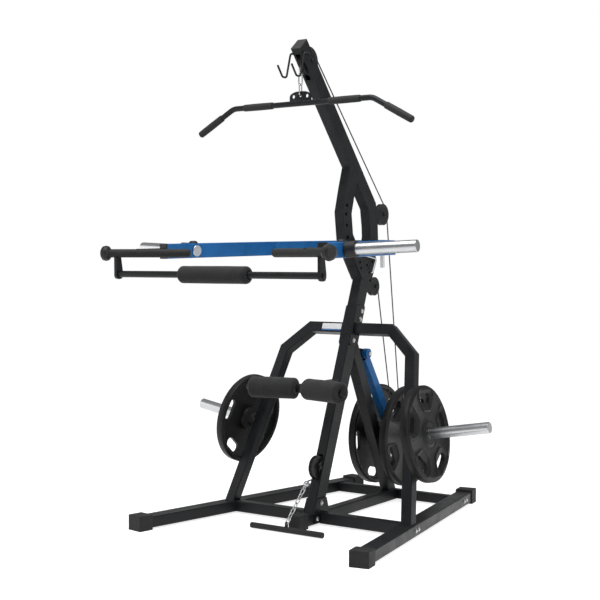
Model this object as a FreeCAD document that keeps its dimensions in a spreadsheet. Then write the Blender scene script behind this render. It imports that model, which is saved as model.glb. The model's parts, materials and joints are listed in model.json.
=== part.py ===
"""Plate-loaded leverage gym with a lat pulldown, a low row and a press arm.

Frame: millimetres. The user stands in front of the mast, on the -Y side, and faces +Y. +X is to
the user's right and +Z is up. The origin lies on the floor, on the plane of symmetry, midway
between the front and the rear of the whole machine.
"""
import FreeCAD
import Part
import Sketcher
import math
import os
import re
from types import SimpleNamespace
from FreeCAD import Placement, Rotation, Vector

# Driving dimensions. Every one is a plain number of millimetres or degrees in the sheet.
SIZES = {
    # steel sections
    "square": 50, "flat_wide": 75, "wall": 3, "corner": 4, "rear_cross_deep": 40, "plate_thick": 6,
    # how far the middle of the whole machine lies behind the datum that the y sizes start from
    "middle_y": 25.44,
    # base
    "rail_lift": 8, "rail_middle": 473, "rail_splay": 10.24, "rail_front": -612, "rail_rear": 830,
    "cap_wall": 5, "cap_tall": 68, "cap_long": 66,
    "stub_front": -215, "cross_middle": -33, "rear_cross_front": 647, "rear_cross_tall": 45,
    # mast, in the plane of symmetry
    "mast_foot": -102, "mast_lean": 21.13, "bend_tall": 1103,
    "neck_low_y": 161, "neck_low_z": 1291, "neck_mid_y": 144, "neck_mid_z": 1420,
    "neck_top_y": 178, "neck_top_z": 1538,
    "boom_lean": 40.2, "boom_front_y": -206, "boom_front_z": 2120, "boom_end_z": 1472,
    "back_top_y": 457, "back_top_z": 1366, "back_low_y": 461, "back_low_z": 1294,
    "strut_lean": 25.6, "strut_foot": 569, "strut_deep": 60,
    # arch
    "arch_lean": 20.3, "arch_foot_y": -68, "arch_foot_x": 506, "arch_knee_x": 371, "arch_knee_z": 787,
    "arch_top_x": 230, "arch_top_z": 905, "gusset_low": 800, "gusset_high": 985,
    # weight horns and plates
    "horn_r": 25, "horn_bevel": 2, "groove_wide": 2, "groove_deep": 1, "store_z": 434, "store_long": 357, "store_gap": 34, "flange_r": 62, "bore_play": 0.5,
    "store_plate_r": 214, "plate_deep": 41, "lever_plate_r": 247, "lever_plate_mid": 90,
    "window_long": 100, "window_wide": 44, "store_window_r": 158, "lever_window_r": 192,
    "plate_dish": 14, "rim_wide": 28, "rim_bevel": 15,
    # lever
    "pivot_y": 354, "pivot_z": 752, "lever_hang": 34, "lever_long": 510, "lever_wide": 40,
    "lever_deep": 45, "lever_horn_long": 232, "lever_pin_r": 10, "sleeve_r": 24, "sleeve_long": 38,
    "lug_half": 12, "tab_reach": 102, "tab_thick": 8, "eye_r": 6, "fork_long": 34,
    # press arm
    "press_y": 420, "press_z": 1262, "press_dip": 1.45, "press_pin_r": 12, "arm_wide": 40, "arm_tall": 65,
    "arm_bend_x": 320, "arm_bend_y": 77, "arm_front_x": 412, "arm_front_y": -605,
    "press_horn_y": -438, "press_horn_out": 334, "press_horn_in": 28, "press_horn_toe": 7,
    "press_horn_cant": 2.5, "collar_r": 34, "collar_long": 48,
    "grip_in_x": 216, "grip_in_y": -667, "grip_out_x": 568, "grip_out_y": -803, "grip_z": 1227,
    "grip_r": 18, "ball_r": 33, "ball_long": 38,
    "low_bar_y": -778, "low_bar_z": 1139, "low_bar_x": 520, "low_bar_r": 14, "foam_r": 36, "foam_long": 348,
    # leg rollers
    "roller_y": -151, "roller_z": 626, "roller_toe": 13.5, "roller_r": 48, "roller_long": 224,
    "roller_in": 27, "shaft_r": 13,
    # pulleys and cables
    "pulley_r": 45, "small_pulley_r": 38, "pulley_wide": 20, "guide_z": 985, "guide_r": 120,
    "row_lead": 72, "row_fall": 6, "hook_chain": 88, "crimp_long": 16, "axle_r": 5, "cable_r": 3, "running": 0.05, "seat_gap": 0.3,
    "boom_pulley_r": 57, "boom_pulley_y": -107, "boom_pulley_z": 2082, "upper_pulley_y": 531, "upper_pulley_z": 1420,
    "back_pulley_y": 451, "back_pulley_z": 1071, "low_pulley_y": -38, "low_pulley_z": 259,
    # lat bar and row bar
    "lat_z": 1889, "lat_half": 371, "lat_end_x": 566, "lat_drop": 108, "lat_r": 12.5,
    "row_y": -276, "row_z": 15, "row_half": 192, "row_r": 13,
    # small parts
    "wire_r": 3, "hanger_hole": 33, "hanger_hole_r": 5.5, "chain_r": 2.5, "link_half": 9, "ring_r": 8, "hook_rod_r": 4.5, "hook_x": 37,
    "lock_rod_r": 4.5, "post_r": 10, "post_long": 62,
}

WINDOWS = 5

doc = FreeCAD.newDocument("leverage_gym")
sheet = doc.addObject("Spreadsheet::Sheet", "Sizes")
for row, (alias, value) in enumerate(SIZES.items(), start=1):
    sheet.set(f"A{row}", alias)
    sheet.set(f"B{row}", str(value))
    sheet.setAlias(f"B{row}", alias)
working = doc.addObject("Spreadsheet::Sheet", "Working")
doc.recompute()
s = SimpleNamespace(**SIZES)
nodes = []


def sin(angle):
    return math.sin(math.radians(angle))


def cos(angle):
    return math.cos(math.radians(angle))


def tan(angle):
    return math.tan(math.radians(angle))


# ---------------------------------------------------------------- modelling helpers

def cell(text):
    """Point every size named in an expression at its cell of the sheet."""
    return re.sub(r"[a-z_]{3,}", lambda m: f"Sizes.{m[0]}" if m[0] in SIZES else m[0], str(text))


def bind(feature, **sizes):
    for prop, text in sizes.items():
        feature.setExpression(prop, cell(text))


def keep(part, name):
    """Give a finished sub-part its name and list it for writing."""
    part.Label = name
    nodes.append(part)
    return part


def along(direction, across=Vector(1, 0, 0)):
    """Rotation that turns local Z along a direction and keeps local X near another one."""
    z = Vector(direction).normalize()
    y = z.cross(Vector(across)).normalize()
    return Rotation(y.cross(z), y, z, "ZXY")


def new_body(name):
    return doc.addObject("PartDesign::Body", name)


def sketch_on(body, role, name):
    plane = next(item for item in body.Origin.OriginFeatures if item.Role == role)
    sketch = body.newObject("Sketcher::SketchObject", name)
    sketch.AttachmentSupport = [(plane, "")]
    sketch.MapMode = "FlatFace"
    return sketch


def pin_point(sketch, line, point, position):
    """Tie a line's first point to a place given by numbers or by expressions of the sheet."""
    for kind, value, wanted in (("DistanceX", point.x, position[0]), ("DistanceY", point.y, position[1])):
        index = sketch.addConstraint(Sketcher.Constraint(kind, -1, 1, line, 1, value))
        if isinstance(wanted, str):
            sketch.setExpression(f"Constraints[{index}]", cell(wanted))


def number(value):
    """A size as a number: an expression of the sheet's names, worked out with their values."""
    if isinstance(value, str):
        return sheet_value(value)
    return float(value)


def sheet_value(text):
    """Work an expression out in a sheet of its own, which no piece depends on."""
    working.set("A1", "=" + cell(text))
    working.recompute()
    return float(working.get("A1"))


def draw_outline(sketch, points):
    """A closed outline of straight lines through the given points."""
    spots = [Vector(number(x), number(y), 0) for x, y in points]
    first = sketch.GeometryCount
    count = len(spots)
    for i, spot in enumerate(spots):
        sketch.addGeometry(Part.LineSegment(spot, spots[(i + 1) % count]), False)
    for i in range(count):
        sketch.addConstraint(Sketcher.Constraint("Coincident", first + i, 2, first + (i + 1) % count, 1))
    for i, (spot, wanted) in enumerate(zip(spots, points)):
        pin_point(sketch, first + i, spot, wanted)


def draw_circle(sketch, centre, radius):
    spot = Vector(number(centre[0]), number(centre[1]), 0)
    index = sketch.addGeometry(Part.Circle(spot, Vector(0, 0, 1), number(radius)), False)
    for kind, value, wanted in (("DistanceX", spot.x, centre[0]), ("DistanceY", spot.y, centre[1])):
        k = sketch.addConstraint(Sketcher.Constraint(kind, -1, 1, index, 3, value))
        if isinstance(wanted, str):
            sketch.setExpression(f"Constraints[{k}]", cell(wanted))
    k = sketch.addConstraint(Sketcher.Constraint("Radius", index, number(radius)))
    if isinstance(radius, str):
        sketch.setExpression(f"Constraints[{k}]", cell(radius))


def extrude(name, role, points, thick, holes=(), offset=None):
    """A flat outline on one of the body's planes, padded evenly to both sides."""
    body = new_body(name)
    sketch = sketch_on(body, role, name + "_outline")
    draw_outline(sketch, points)
    for centre, radius in holes:
        draw_circle(sketch, centre, radius)
    pad = body.newObject("PartDesign::Pad", name + "_pad")
    pad.Profile = sketch
    pad.Midplane = True
    bind(pad, Length=thick)
    doc.recompute()
    if offset is not None:
        body.Placement = offset
    return body


def long_edges(shape, direction):
    """Names of the straight outer edges that run along a direction."""
    names = []
    for i, edge in enumerate(shape.Edges, start=1):
        if len(edge.Vertexes) == 2 and edge.Curve.TypeId == "Part::GeomLine":
            run = (edge.Vertexes[1].Point - edge.Vertexes[0].Point).normalize()
            if abs(run.dot(direction)) > 0.9999:
                names.append(f"Edge{i}")
    return names


def inset(points, gaps):
    """Outline whose every side is moved inwards by its own gap."""
    turn = sum(a[0] * b[1] - b[0] * a[1] for a, b in zip(points, points[1:] + points[:1]))
    side = 1 if turn > 0 else -1
    lines = []
    for a, b, gap in zip(points, points[1:] + points[:1], gaps):
        long = math.hypot(b[0] - a[0], b[1] - a[1])
        dx, dy = -(b[1] - a[1]) / long * gap * side, (b[0] - a[0]) / long * gap * side
        lines.append(((a[0] + dx, a[1] + dy), (b[0] + dx, b[1] + dy)))
    return [crossing(*lines[i - 1], *lines[i]) for i in range(len(lines))]


def bent_tube(name, role, points, thick, open_sides):
    """Bent box section: an outline padded evenly to both sides, bored out, with open ends.

    open_sides holds the numbers of the outline's sides where the bore comes out.
    """
    body = extrude(name, role, points, thick)
    edges = []
    half = number(thick) / 2
    axis = Vector(0, 0, 1) if role == "XY_Plane" else OUT
    mouths = []
    for i in open_sides:
        a, b = points[i], points[(i + 1) % len(points)]
        mouths.append(((a[0] + b[0]) / 2, (a[1] + b[1]) / 2))
    for i, edge in enumerate(body.Tip.Shape.Edges, start=1):
        if all(abs(abs(v.Point.dot(axis)) - half) < 1e-4 for v in edge.Vertexes):
            spot = edge.CenterOfMass
            flat = (spot.x, spot.y) if role == "XY_Plane" else (spot.y, spot.z)
            level = abs(spot.dot(axis)) > half - 1e-4
            if level and all(math.hypot(flat[0] - m[0], flat[1] - m[1]) > 1e-3 for m in mouths):
                edges.append(f"Edge{i}")
    round_edges(body, edges)
    gaps = [-20 if i in open_sides else s.wall for i in range(len(points))]
    sketch = sketch_on(body, role, name + "_bore_outline")
    draw_outline(sketch, inset(points, gaps))
    bore = body.newObject("PartDesign::Pocket", name + "_bore")
    bore.Profile = sketch
    bore.Midplane = True
    bind(bore, Length=f"{thick} - wall * 2")
    doc.recompute()
    return body


def hollow(body, open_face, wall="wall"):
    """Turn a solid bar into a tube: the faces that open_face picks become its open ends."""
    base = body.Tip
    names = [f"Face{i}" for i, face in enumerate(base.Shape.Faces, start=1) if open_face(face)]
    shell = body.newObject("PartDesign::Thickness", body.Name + "_bore")
    shell.Base = (base, names)
    shell.Reversed = True
    shell.Join = 1
    bind(shell, Value=wall)
    body.Tip = shell
    doc.recompute()
    return shell


def round_edges(body, names, radius="corner"):
    base = body.Tip
    rounded = body.newObject("PartDesign::Fillet", body.Name + "_round")
    rounded.Base = (base, names)
    bind(rounded, Radius=radius)
    body.Tip = rounded
    doc.recompute()
    return rounded


def faces_towards(*normals):
    """Pick flat faces whose outward normal is near one of the given directions."""
    def picked(face):
        if face.Surface.TypeId != "Part::GeomPlane":
            return False
        normal = face.normalAt(0, 0)
        return any(normal.dot(Vector(n).normalize()) > 0.999 for n in normals)
    return picked


def cut_box(body, name, size, centre, rotation=Rotation()):
    """Take a box, given by its three sizes and its middle, out of a body."""
    box = body.newObject("PartDesign::SubtractiveBox", name)
    bind(box, Length=size[0], Width=size[1], Height=size[2])
    half = Vector(*[number(item) / 2 for item in size])
    box.Placement = Placement(Vector(centre) - rotation.multVec(half), rotation)
    body.Tip = box
    doc.recompute()
    return box


def cut_hole(body, name, radius, length, centre, direction):
    """Take a round hole, centred on a point, out of a body."""
    hole = body.newObject("PartDesign::SubtractiveCylinder", name)
    bind(hole, Radius=radius, Height=length)
    way = Vector(direction).normalize()
    hole.Placement = Placement(Vector(centre) - way * (number(length) / 2), along(way, Vector(0.1, 0.9, 0.4)))
    body.Tip = hole
    doc.recompute()
    return hole


def tube(name, wide, deep, start, end, across=Vector(1, 0, 0), radius="corner"):
    """Hollow box section from start to end; wide lies along the across direction."""
    run = Vector(end) - Vector(start)
    body = new_body(name)
    sketch = sketch_on(body, "XY_Plane", name + "_section")
    half_wide, half_deep = f"({wide}) / 2", f"({deep}) / 2"
    draw_outline(sketch, [(f"-{half_wide}", f"-{half_deep}"), (half_wide, f"-{half_deep}"),
                          (half_wide, half_deep), (f"-{half_wide}", half_deep)])
    pad = body.newObject("PartDesign::Pad", name + "_pad")
    pad.Profile = sketch
    pad.Length = run.Length
    doc.recompute()
    round_edges(body, long_edges(pad.Shape, UP), radius)
    hollow(body, faces_towards((0, 0, 1), (0, 0, -1)))
    body.Placement = Placement(Vector(start), along(run, across))
    return body


def turned(name, profile, base, direction):
    """Solid of revolution. The profile's points are (radius, station along the axis)."""
    body = new_body(name)
    sketch = sketch_on(body, "XZ_Plane", name + "_profile")
    draw_outline(sketch, profile)
    spin = body.newObject("PartDesign::Revolution", name + "_turn")
    spin.Profile = sketch
    spin.ReferenceAxis = (sketch, ["V_Axis"])
    spin.Angle = 360
    doc.recompute()
    body.Placement = Placement(Vector(base), along(direction, Vector(0.1, 0.9, 0.4)))
    return body


def rod(name, radius, start, end, bevel=1.5):
    """Round bar from start to end with bevelled ends."""
    long = (Vector(end) - Vector(start)).Length
    r = f"{radius}"
    return turned(name, [(0, 0), (f"{r} - {bevel}", 0), (r, bevel), (r, long - bevel),
                         (f"{r} - {bevel}", long), (0, long)], start, Vector(end) - Vector(start))


def horn(name, start, end, grooves):
    """Plate horn: a round bar whose free lengths start at a shallow groove, where its sleeve ends."""
    long = (Vector(end) - Vector(start)).Length
    edge = s.horn_bevel
    profile = [(0, 0), ("horn_r - horn_bevel", 0), ("horn_r", edge)]
    for station in grooves:
        profile += [("horn_r", station), ("horn_r - groove_deep", station),
                    ("horn_r - groove_deep", station + s.groove_wide), ("horn_r", station + s.groove_wide)]
    profile += [("horn_r", long - edge), ("horn_r - horn_bevel", long), (0, long)]
    return turned(name, profile, start, Vector(end) - Vector(start))


def ring(name, inner, outer, long, start, direction, bevel=1):
    """Bush or sleeve: a short tube with bevelled outer rims."""
    far = number(long)
    return turned(name, [(inner, 0), (f"{outer} - {bevel}", 0), (outer, bevel), (outer, far - bevel),
                         (f"{outer} - {bevel}", far), (inner, far)], start, direction)


def group(name, parts):
    """Like pieces that share one node and stay separate solids."""
    made = doc.addObject("Part::Compound", name)
    made.Links = parts
    doc.recompute()
    return keep(made, name)


def fuse(name, parts):
    made = doc.addObject("Part::MultiFuse", name)
    made.Shapes = parts
    doc.recompute()
    return made


def subtract(name, base, tool):
    made = doc.addObject("Part::Cut", name)
    made.Base = base
    made.Tool = tool
    doc.recompute()
    return made


def bolt(name, seat, direction, head_r=8.5, head_long=6.5):
    """Domed bolt head on its washer, seated on a face."""
    return turned(name, [(0, 0), (head_r + 2.5, 0), (head_r + 2.5, 2), (head_r, 2), (head_r, head_long - 2),
                         (head_r - 2.5, head_long), (0, head_long)], seat, direction)


def pipe(name, wire, radius):
    """Round bar or cable of constant radius along a smooth wire of lines and arcs."""
    first = wire.OrderedEdges[0]
    start = first.valueAt(first.FirstParameter)
    way = first.tangentAt(first.FirstParameter)
    section = Part.Wire([Part.makeCircle(radius, start, way)])
    made = doc.addObject("Part::Feature", name)
    made.Shape = wire.makePipeShell([section], True, False)
    return keep(made, name)


def rounded_path(points, radius):
    """Wire through the points with a tangent arc of one radius at each inner point."""
    edges = []
    last = Vector(points[0])
    for i in range(1, len(points) - 1):
        here = Vector(points[i])
        back = (Vector(points[i - 1]) - here).normalize()
        on = (Vector(points[i + 1]) - here).normalize()
        half_angle = back.getAngle(on) / 2
        reach = radius / math.tan(half_angle)
        centre = here + (back + on).normalize() * (radius / math.sin(half_angle))
        enter, leave = here + back * reach, here + on * reach
        middle = centre + (here - centre).normalize() * radius
        edges.append(Part.LineSegment(last, enter).toShape())
        edges.append(Part.Arc(enter, middle, leave).toShape())
        last = leave
    edges.append(Part.LineSegment(last, Vector(points[-1])).toShape())
    return Part.Wire(edges)


def offset_line(points, gap):
    """Points of a bent line moved sideways by a gap, mitred at the bends."""
    moved = []
    for i, point in enumerate(points):
        before = points[max(i - 1, 0)]
        after = points[min(i + 1, len(points) - 1)]
        runs = []
        for a, b in ((before, point), (point, after)):
            length = math.hypot(b[0] - a[0], b[1] - a[1])
            if length:
                runs.append(((b[0] - a[0]) / length, (b[1] - a[1]) / length))
        normals = [(-dy, dx) for dx, dy in runs]
        nx = sum(n[0] for n in normals)
        ny = sum(n[1] for n in normals)
        scale = gap * len(normals) / (nx * nx + ny * ny)
        moved.append((point[0] + nx * scale, point[1] + ny * scale))
    return moved


# ---------------------------------------------------------------- places worked out from the sizes

SIDES = (("left", -1), ("right", 1))
OUT = Vector(1, 0, 0)
UP = Vector(0, 0, 1)
half_square = s.square / 2
rail_top = s.rail_lift + s.square
rail_mid_z = s.rail_lift + half_square
rail_half_x = s.flat_wide / 2 / cos(s.rail_splay)
mast_slope = tan(s.mast_lean)
mast_deep = s.flat_wide / cos(s.mast_lean)
boom_slope = tan(s.boom_lean)
boom_way = Vector(0, sin(s.boom_lean), -cos(s.boom_lean))
boom_across = Vector(0, cos(s.boom_lean), sin(s.boom_lean))


def rail_x(y):
    """Middle of the right-hand base rail at a distance y from the origin."""
    return s.rail_middle - y * tan(s.rail_splay)


def mast_front(z):
    return s.mast_foot + (z - rail_top) * mast_slope


def mast_rear(z):
    return mast_front(z) + mast_deep


def boom_under(z):
    """Underside of the boom at a height z."""
    return s.boom_front_y + (s.boom_front_z - z) * boom_slope


def arch_front(z):
    return s.arch_foot_y + (z - rail_top) * tan(s.arch_lean)


# ---------------------------------------------------------------- base

def make_base():
    for side, sign in SIDES:
        ends = [Vector(sign * rail_x(y), y, rail_mid_z) for y in (s.rail_front, s.rail_rear)]
        rail = tube(f"rail_{side}", "flat_wide", "square", ends[0], ends[1])
        keep(rail, f"rail_{side}")
    plate_x = half_square + s.plate_thick
    crosses = []
    stub = tube("centre_rail", "square", "square", Vector(0, s.stub_front, rail_mid_z),
                Vector(0, s.rear_cross_front, rail_mid_z))
    keep(stub, "centre_rail")
    low, high = s.cross_middle - half_square, s.cross_middle + half_square
    level = Placement(Vector(0, 0, rail_mid_z), Rotation())
    for side, sign in SIDES:
        points = [(sign * plate_x, low), (sign * (rail_x(low) - rail_half_x), low),
                  (sign * (rail_x(high) - rail_half_x), high), (sign * plate_x, high)]
        cross = extrude(f"front_cross_{side}", "XY_Plane", points, "square")
        round_edges(cross, long_edges(cross.Tip.Shape, OUT))
        hollow(cross, lambda face: abs(face.normalAt(0, 0).x) > 0.9)
        cross.Placement = level
        crosses.append(cross)
    group("front_cross", crosses)
    near, far = s.rear_cross_front, s.rear_cross_front + s.rear_cross_deep
    points = [(-(rail_x(near) - rail_half_x), near), (rail_x(near) - rail_half_x, near),
              (rail_x(far) - rail_half_x, far), (-(rail_x(far) - rail_half_x), far)]
    cross = extrude("rear_cross", "XY_Plane", points, "rear_cross_tall")
    round_edges(cross, long_edges(cross.Tip.Shape, OUT))
    hollow(cross, lambda face: abs(face.normalAt(0, 0).x) > 0.9)
    cross.Placement = Placement(Vector(0, 0, s.rail_lift + s.rear_cross_tall / 2), Rotation())
    keep(cross, "rear_cross")


def end_cap(name, wide, tip, run):
    """Rubber foot that is pushed over the end of a base tube and stands on the floor."""
    body = new_body(name)
    sketch = sketch_on(body, "XY_Plane", name + "_section")
    half = f"({wide}) / 2 + cap_wall"
    draw_outline(sketch, [(f"-({half})", f"-rail_lift - square / 2"), (half, f"-rail_lift - square / 2"),
                          (half, "cap_tall - rail_lift - square / 2"),
                          (f"-({half})", "cap_tall - rail_lift - square / 2")])
    pad = body.newObject("PartDesign::Pad", name + "_pad")
    pad.Profile = sketch
    bind(pad, Length="cap_long + cap_wall")
    doc.recompute()
    body.Tip = pad
    top = [f"Edge{i}" for i, e in enumerate(pad.Shape.Edges, start=1)
           if min(v.Point.z for v in e.Vertexes) > -1e-6 and not all(v.Point.z > 1 for v in e.Vertexes)
           and not all(v.Point.y < 0 and v.Point.z < 1e-6 for v in e.Vertexes)
           and (all(v.Point.z < 1e-6 for v in e.Vertexes) or all(v.Point.y > 0 for v in e.Vertexes))]
    round_edges(body, top, "corner")
    cut_box(body, name + "_socket", (wide, "square", "cap_long + 1"),
            (0, 0, s.cap_wall + (s.cap_long + 1) / 2))
    body.Placement = Placement(Vector(tip) - Vector(run).normalize() * s.cap_wall, along(run, turned_across(run)))
    return body


def turned_across(run):
    """Sideways direction of a level tube, so that a cap's height stays upright."""
    return UP.cross(Vector(run))


def make_caps():
    caps = []
    for side, sign in SIDES:
        front = Vector(sign * rail_x(s.rail_front), s.rail_front, rail_mid_z)
        rear = Vector(sign * rail_x(s.rail_rear), s.rail_rear, rail_mid_z)
        caps.append(end_cap(f"cap_front_{side}", "flat_wide", front, rear - front))
        caps.append(end_cap(f"cap_rear_{side}", "flat_wide", rear, front - rear))
    caps.append(end_cap("cap_centre", "square", Vector(0, s.stub_front, rail_mid_z), Vector(0, 1, 0)))
    caps.append(boom_plug())
    group("end_caps", caps)


# ---------------------------------------------------------------- mast, boom and strut

def neck_outline():
    """Outer line of the forward branch, from the bend up to the boom."""
    top_z = s.neck_top_z + (boom_under(s.neck_top_z) - s.neck_top_y) / (boom_slope + 0.33)
    return [(mast_front(s.bend_tall), s.bend_tall), (s.neck_low_y, s.neck_low_z),
            (s.neck_mid_y, s.neck_mid_z), (s.neck_top_y, s.neck_top_z), (boom_under(top_z), top_z)]


def neck_inner():
    """Inner line of the forward branch, one tube depth behind its outer line."""
    inner = offset_line(neck_outline(), -s.flat_wide)
    last, end = inner[-2], inner[-1]
    slope = (end[0] - last[0]) / (end[1] - last[1])
    z = (s.boom_front_y + s.boom_front_z * boom_slope - last[0] + last[1] * slope) / (slope + boom_slope)
    return inner[1:-1] + [(boom_under(z), z)]


def back_outline():
    """Rear line of the rear branch, from the boom down to the bend."""
    corner = boom_corner()
    return [corner, (s.back_top_y, s.back_top_z), (s.back_low_y, s.back_low_z),
            (mast_rear(s.bend_tall), s.bend_tall)]


def boom_corner():
    """Where the boom's rear face ends and the rear branch begins."""
    return (boom_under(s.boom_end_z) + s.flat_wide / cos(s.boom_lean), s.boom_end_z)


def back_inner():
    """Front line of the rear branch, clipped where it meets the boom."""
    inner = offset_line(back_outline(), -s.flat_wide)
    a, b = inner[1], inner[0]
    slope = (b[0] - a[0]) / (b[1] - a[1])
    z = (s.boom_front_y + s.boom_front_z * boom_slope - a[0] + a[1] * slope) / (slope + boom_slope)
    return [(boom_under(z), z), inner[1], inner[2]]


def fork():
    """Inner crotch where the two branches meet above the bend."""
    front = offset_line(neck_outline()[:2], -s.flat_wide)
    back = offset_line(back_outline()[2:], -s.flat_wide)
    return crossing(front[0], front[1], back[0], back[1])


def crossing(a, b, c, d):
    """Point where the line through a and b meets the line through c and d."""
    ax, az, bx, bz = b[0] - a[0], b[1] - a[1], d[0] - c[0], d[1] - c[1]
    t = ((c[0] - a[0]) * bz - (c[1] - a[1]) * bx) / (ax * bz - az * bx)
    return (a[0] + ax * t, a[1] + az * t)


def make_front_mast():
    """Main upright with the forward branch of the neck: one bent tube."""
    outer = neck_outline()
    inner = neck_inner()
    points = [(s.mast_foot, rail_top)] + outer + list(reversed(inner)) + [fork()]
    points += [(mast_rear(s.bend_tall), s.bend_tall), (mast_rear(rail_top), rail_top)]
    mast = bent_tube("front_mast", "YZ_Plane", points, "square", {len(outer), len(points) - 3, len(points) - 1})
    slot = Rotation(OUT, -s.mast_lean)
    cut_box(mast, "low_pulley_slot", ("pulley_wide + 4", 30, "pulley_r * 2 + 26"),
            (0, mast_front(s.low_pulley_z), s.low_pulley_z), slot)
    cut_box(mast, "cable_slot", (16, 30, 120), (0, mast_rear(1010), 1010), slot)
    for i, z in enumerate((1305, 1360, 1411, 1452)):
        cut_hole(mast, f"selector_hole_{i + 1}", 8, 80, (0, neck_hole_y(z), z), OUT)
    keep(mast, "front_mast")


def neck_hole_y(z):
    """Selector holes follow the forward branch, a third of its depth behind the front."""
    low, mid, top = (s.neck_low_y, s.neck_low_z), (s.neck_mid_y, s.neck_mid_z), (s.neck_top_y, s.neck_top_z)
    a, b = (low, mid) if z < s.neck_mid_z else (mid, top)
    return a[0] + (b[0] - a[0]) * (z - a[1]) / (b[1] - a[1]) + s.flat_wide / 3


def make_rear_mast():
    """Boom with the rear branch of the neck."""
    tip = Vector(0, s.boom_front_y, s.boom_front_z) + boom_across * s.flat_wide
    points = [(s.boom_front_y, s.boom_front_z), (tip.y, tip.z)] + back_outline() + [fork()]
    points += list(reversed(back_inner()))
    mast = bent_tube("rear_mast", "YZ_Plane", points, "square", {0, len(back_outline()) + 1})
    turn = Rotation(OUT, s.boom_lean)
    pulley = Vector(0, s.boom_pulley_y, s.boom_pulley_z)
    cut_box(mast, "boom_pulley_slot", ("pulley_wide + 4", "flat_wide + 30", "boom_pulley_r * 2 + 20"), pulley, turn)
    cut_hole(mast, "boom_axle_hole", "axle_r", 80, pulley, OUT)
    cut_hole(mast, "press_pin_hole", "press_pin_r", 80, (0, s.press_y, s.press_z), OUT)
    keep(mast, "rear_mast")


def boom_plug():
    """Flat cap on the open top end of the boom."""
    plug = extrude("boom_cap", "XY_Plane", [("-square / 2", "-flat_wide / 2"), ("square / 2", "-flat_wide / 2"),
                                            ("square / 2", "flat_wide / 2"), ("-square / 2", "flat_wide / 2")],
                   "cap_wall")
    middle = Vector(0, s.boom_front_y, s.boom_front_z) + boom_across * (s.flat_wide / 2)
    plug.Placement = Placement(middle - boom_way * (s.cap_wall / 2), along(boom_way * -1, OUT))
    round_edges(plug, long_edges(plug.Tip.Shape, UP), "corner")
    return plug


def make_strut():
    """Rear leg of the A-frame, from the mast down to the centre rail."""
    slope = tan(s.strut_lean)
    deep = s.strut_deep / cos(s.strut_lean)
    points = []
    for shift in (0, deep):
        z = (s.strut_foot + shift + rail_top * slope - mast_rear(0)) / (slope + mast_slope)
        points.append((mast_rear(z), z))
    points += [(s.strut_foot + deep, rail_top), (s.strut_foot, rail_top)]
    strut = bent_tube("rear_strut", "YZ_Plane", points, "square", {0, 2})
    keep(strut, "rear_strut")


# ---------------------------------------------------------------- arch

def arch_plane():
    """Placement of the arch's own plane: local X outwards, local Y up the slope."""
    return Placement(Vector(0, s.arch_foot_y, rail_top), Rotation(OUT, 90 - s.arch_lean))


def up_slope(z):
    return (z - rail_top) / cos(s.arch_lean)


def make_arch():
    top, knee = up_slope(s.arch_top_z), up_slope(s.arch_knee_z)
    below = -s.square
    foot_x = s.arch_foot_x + (s.arch_foot_x - s.arch_knee_x) * s.square / knee
    start = half_square + s.plate_thick
    outer = [(foot_x, below), (s.arch_knee_x, knee), (s.arch_top_x, top), (start, top)]
    inner = offset_line(outer, s.square)
    inner[0] = crossing(inner[0], inner[1], (0, below), (1, below))
    for side, sign in SIDES:
        points = [(sign * x, y) for x, y in outer + list(reversed(inner))]
        half = bent_tube(f"arch_bar_{side}", "XY_Plane", points, "square", {len(outer) - 1, len(points) - 1})
        place = arch_plane()
        lift = place.Rotation.multVec(Vector(0, 0, -half_square))
        half.Placement = Placement(place.Base + lift, place.Rotation)
        trim = doc.addObject("Part::Box", f"arch_trim_{side}")
        bind(trim, Length="rail_middle * 4", Width="rail_middle * 4", Height="square * 4")
        trim.Placement = Placement(Vector(-s.rail_middle * 2, -s.rail_middle * 2, rail_top - s.square * 4), Rotation())
        keep(subtract(f"arch_{side}", half, trim), f"arch_{side}")


def make_gussets():
    """Side plates that bolt the two halves of the arch to the mast."""
    low, high = s.gusset_low, s.gusset_high
    lip = 3
    points = [(mast_front(low) + lip, low), (mast_rear(low) - lip, low), (mast_rear(high) - lip, high),
              (mast_front(high) + lip, high)]
    plates = []
    bolts = []
    for side, sign in SIDES:
        plate = extrude(f"gusset_{side}", "YZ_Plane", points, "plate_thick")
        round_edges(plate, long_edges(plate.Tip.Shape, OUT), 14)
        plate.Placement = Placement(Vector(sign * (half_square + s.plate_thick / 2), 0, 0), Rotation())
        plates.append(plate)
        face = sign * (half_square + s.plate_thick)
        for k, z in enumerate((low + 22, high - 66, high - 28)):
            y = mast_front(z) + mast_deep * (0.42 if z < s.arch_top_z - s.square else 0.68)
            bolts.append(bolt(f"gusset_bolt_{side}_{k}", Vector(face, y, z), Vector(sign, 0, 0)))
    group("arch_gussets", plates)
    group("mast_plates", make_frame_bolts(bolts) + start_plates() + [lever_lug()])


def start_plates():
    """Side plates with a cluster of pin holes at the bend of the mast."""
    outline = [(306, 1106), (234, 1200), (222, 1222), (420, 1222), (430, 1208), (428, 1180), (390, 1106)]
    holes = [((y, z), 7.5) for y, z in ((283, 1188), (292, 1160), (346, 1174), (396, 1190), (373, 1138))]
    plates = []
    for side, sign in SIDES:
        plate = extrude(f"start_plate_{side}", "YZ_Plane", outline, "plate_thick", holes=holes)
        plate.Placement = Placement(Vector(sign * (half_square + s.plate_thick / 2), 0, 0), Rotation())
        plates.append(plate)
    return plates


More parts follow.
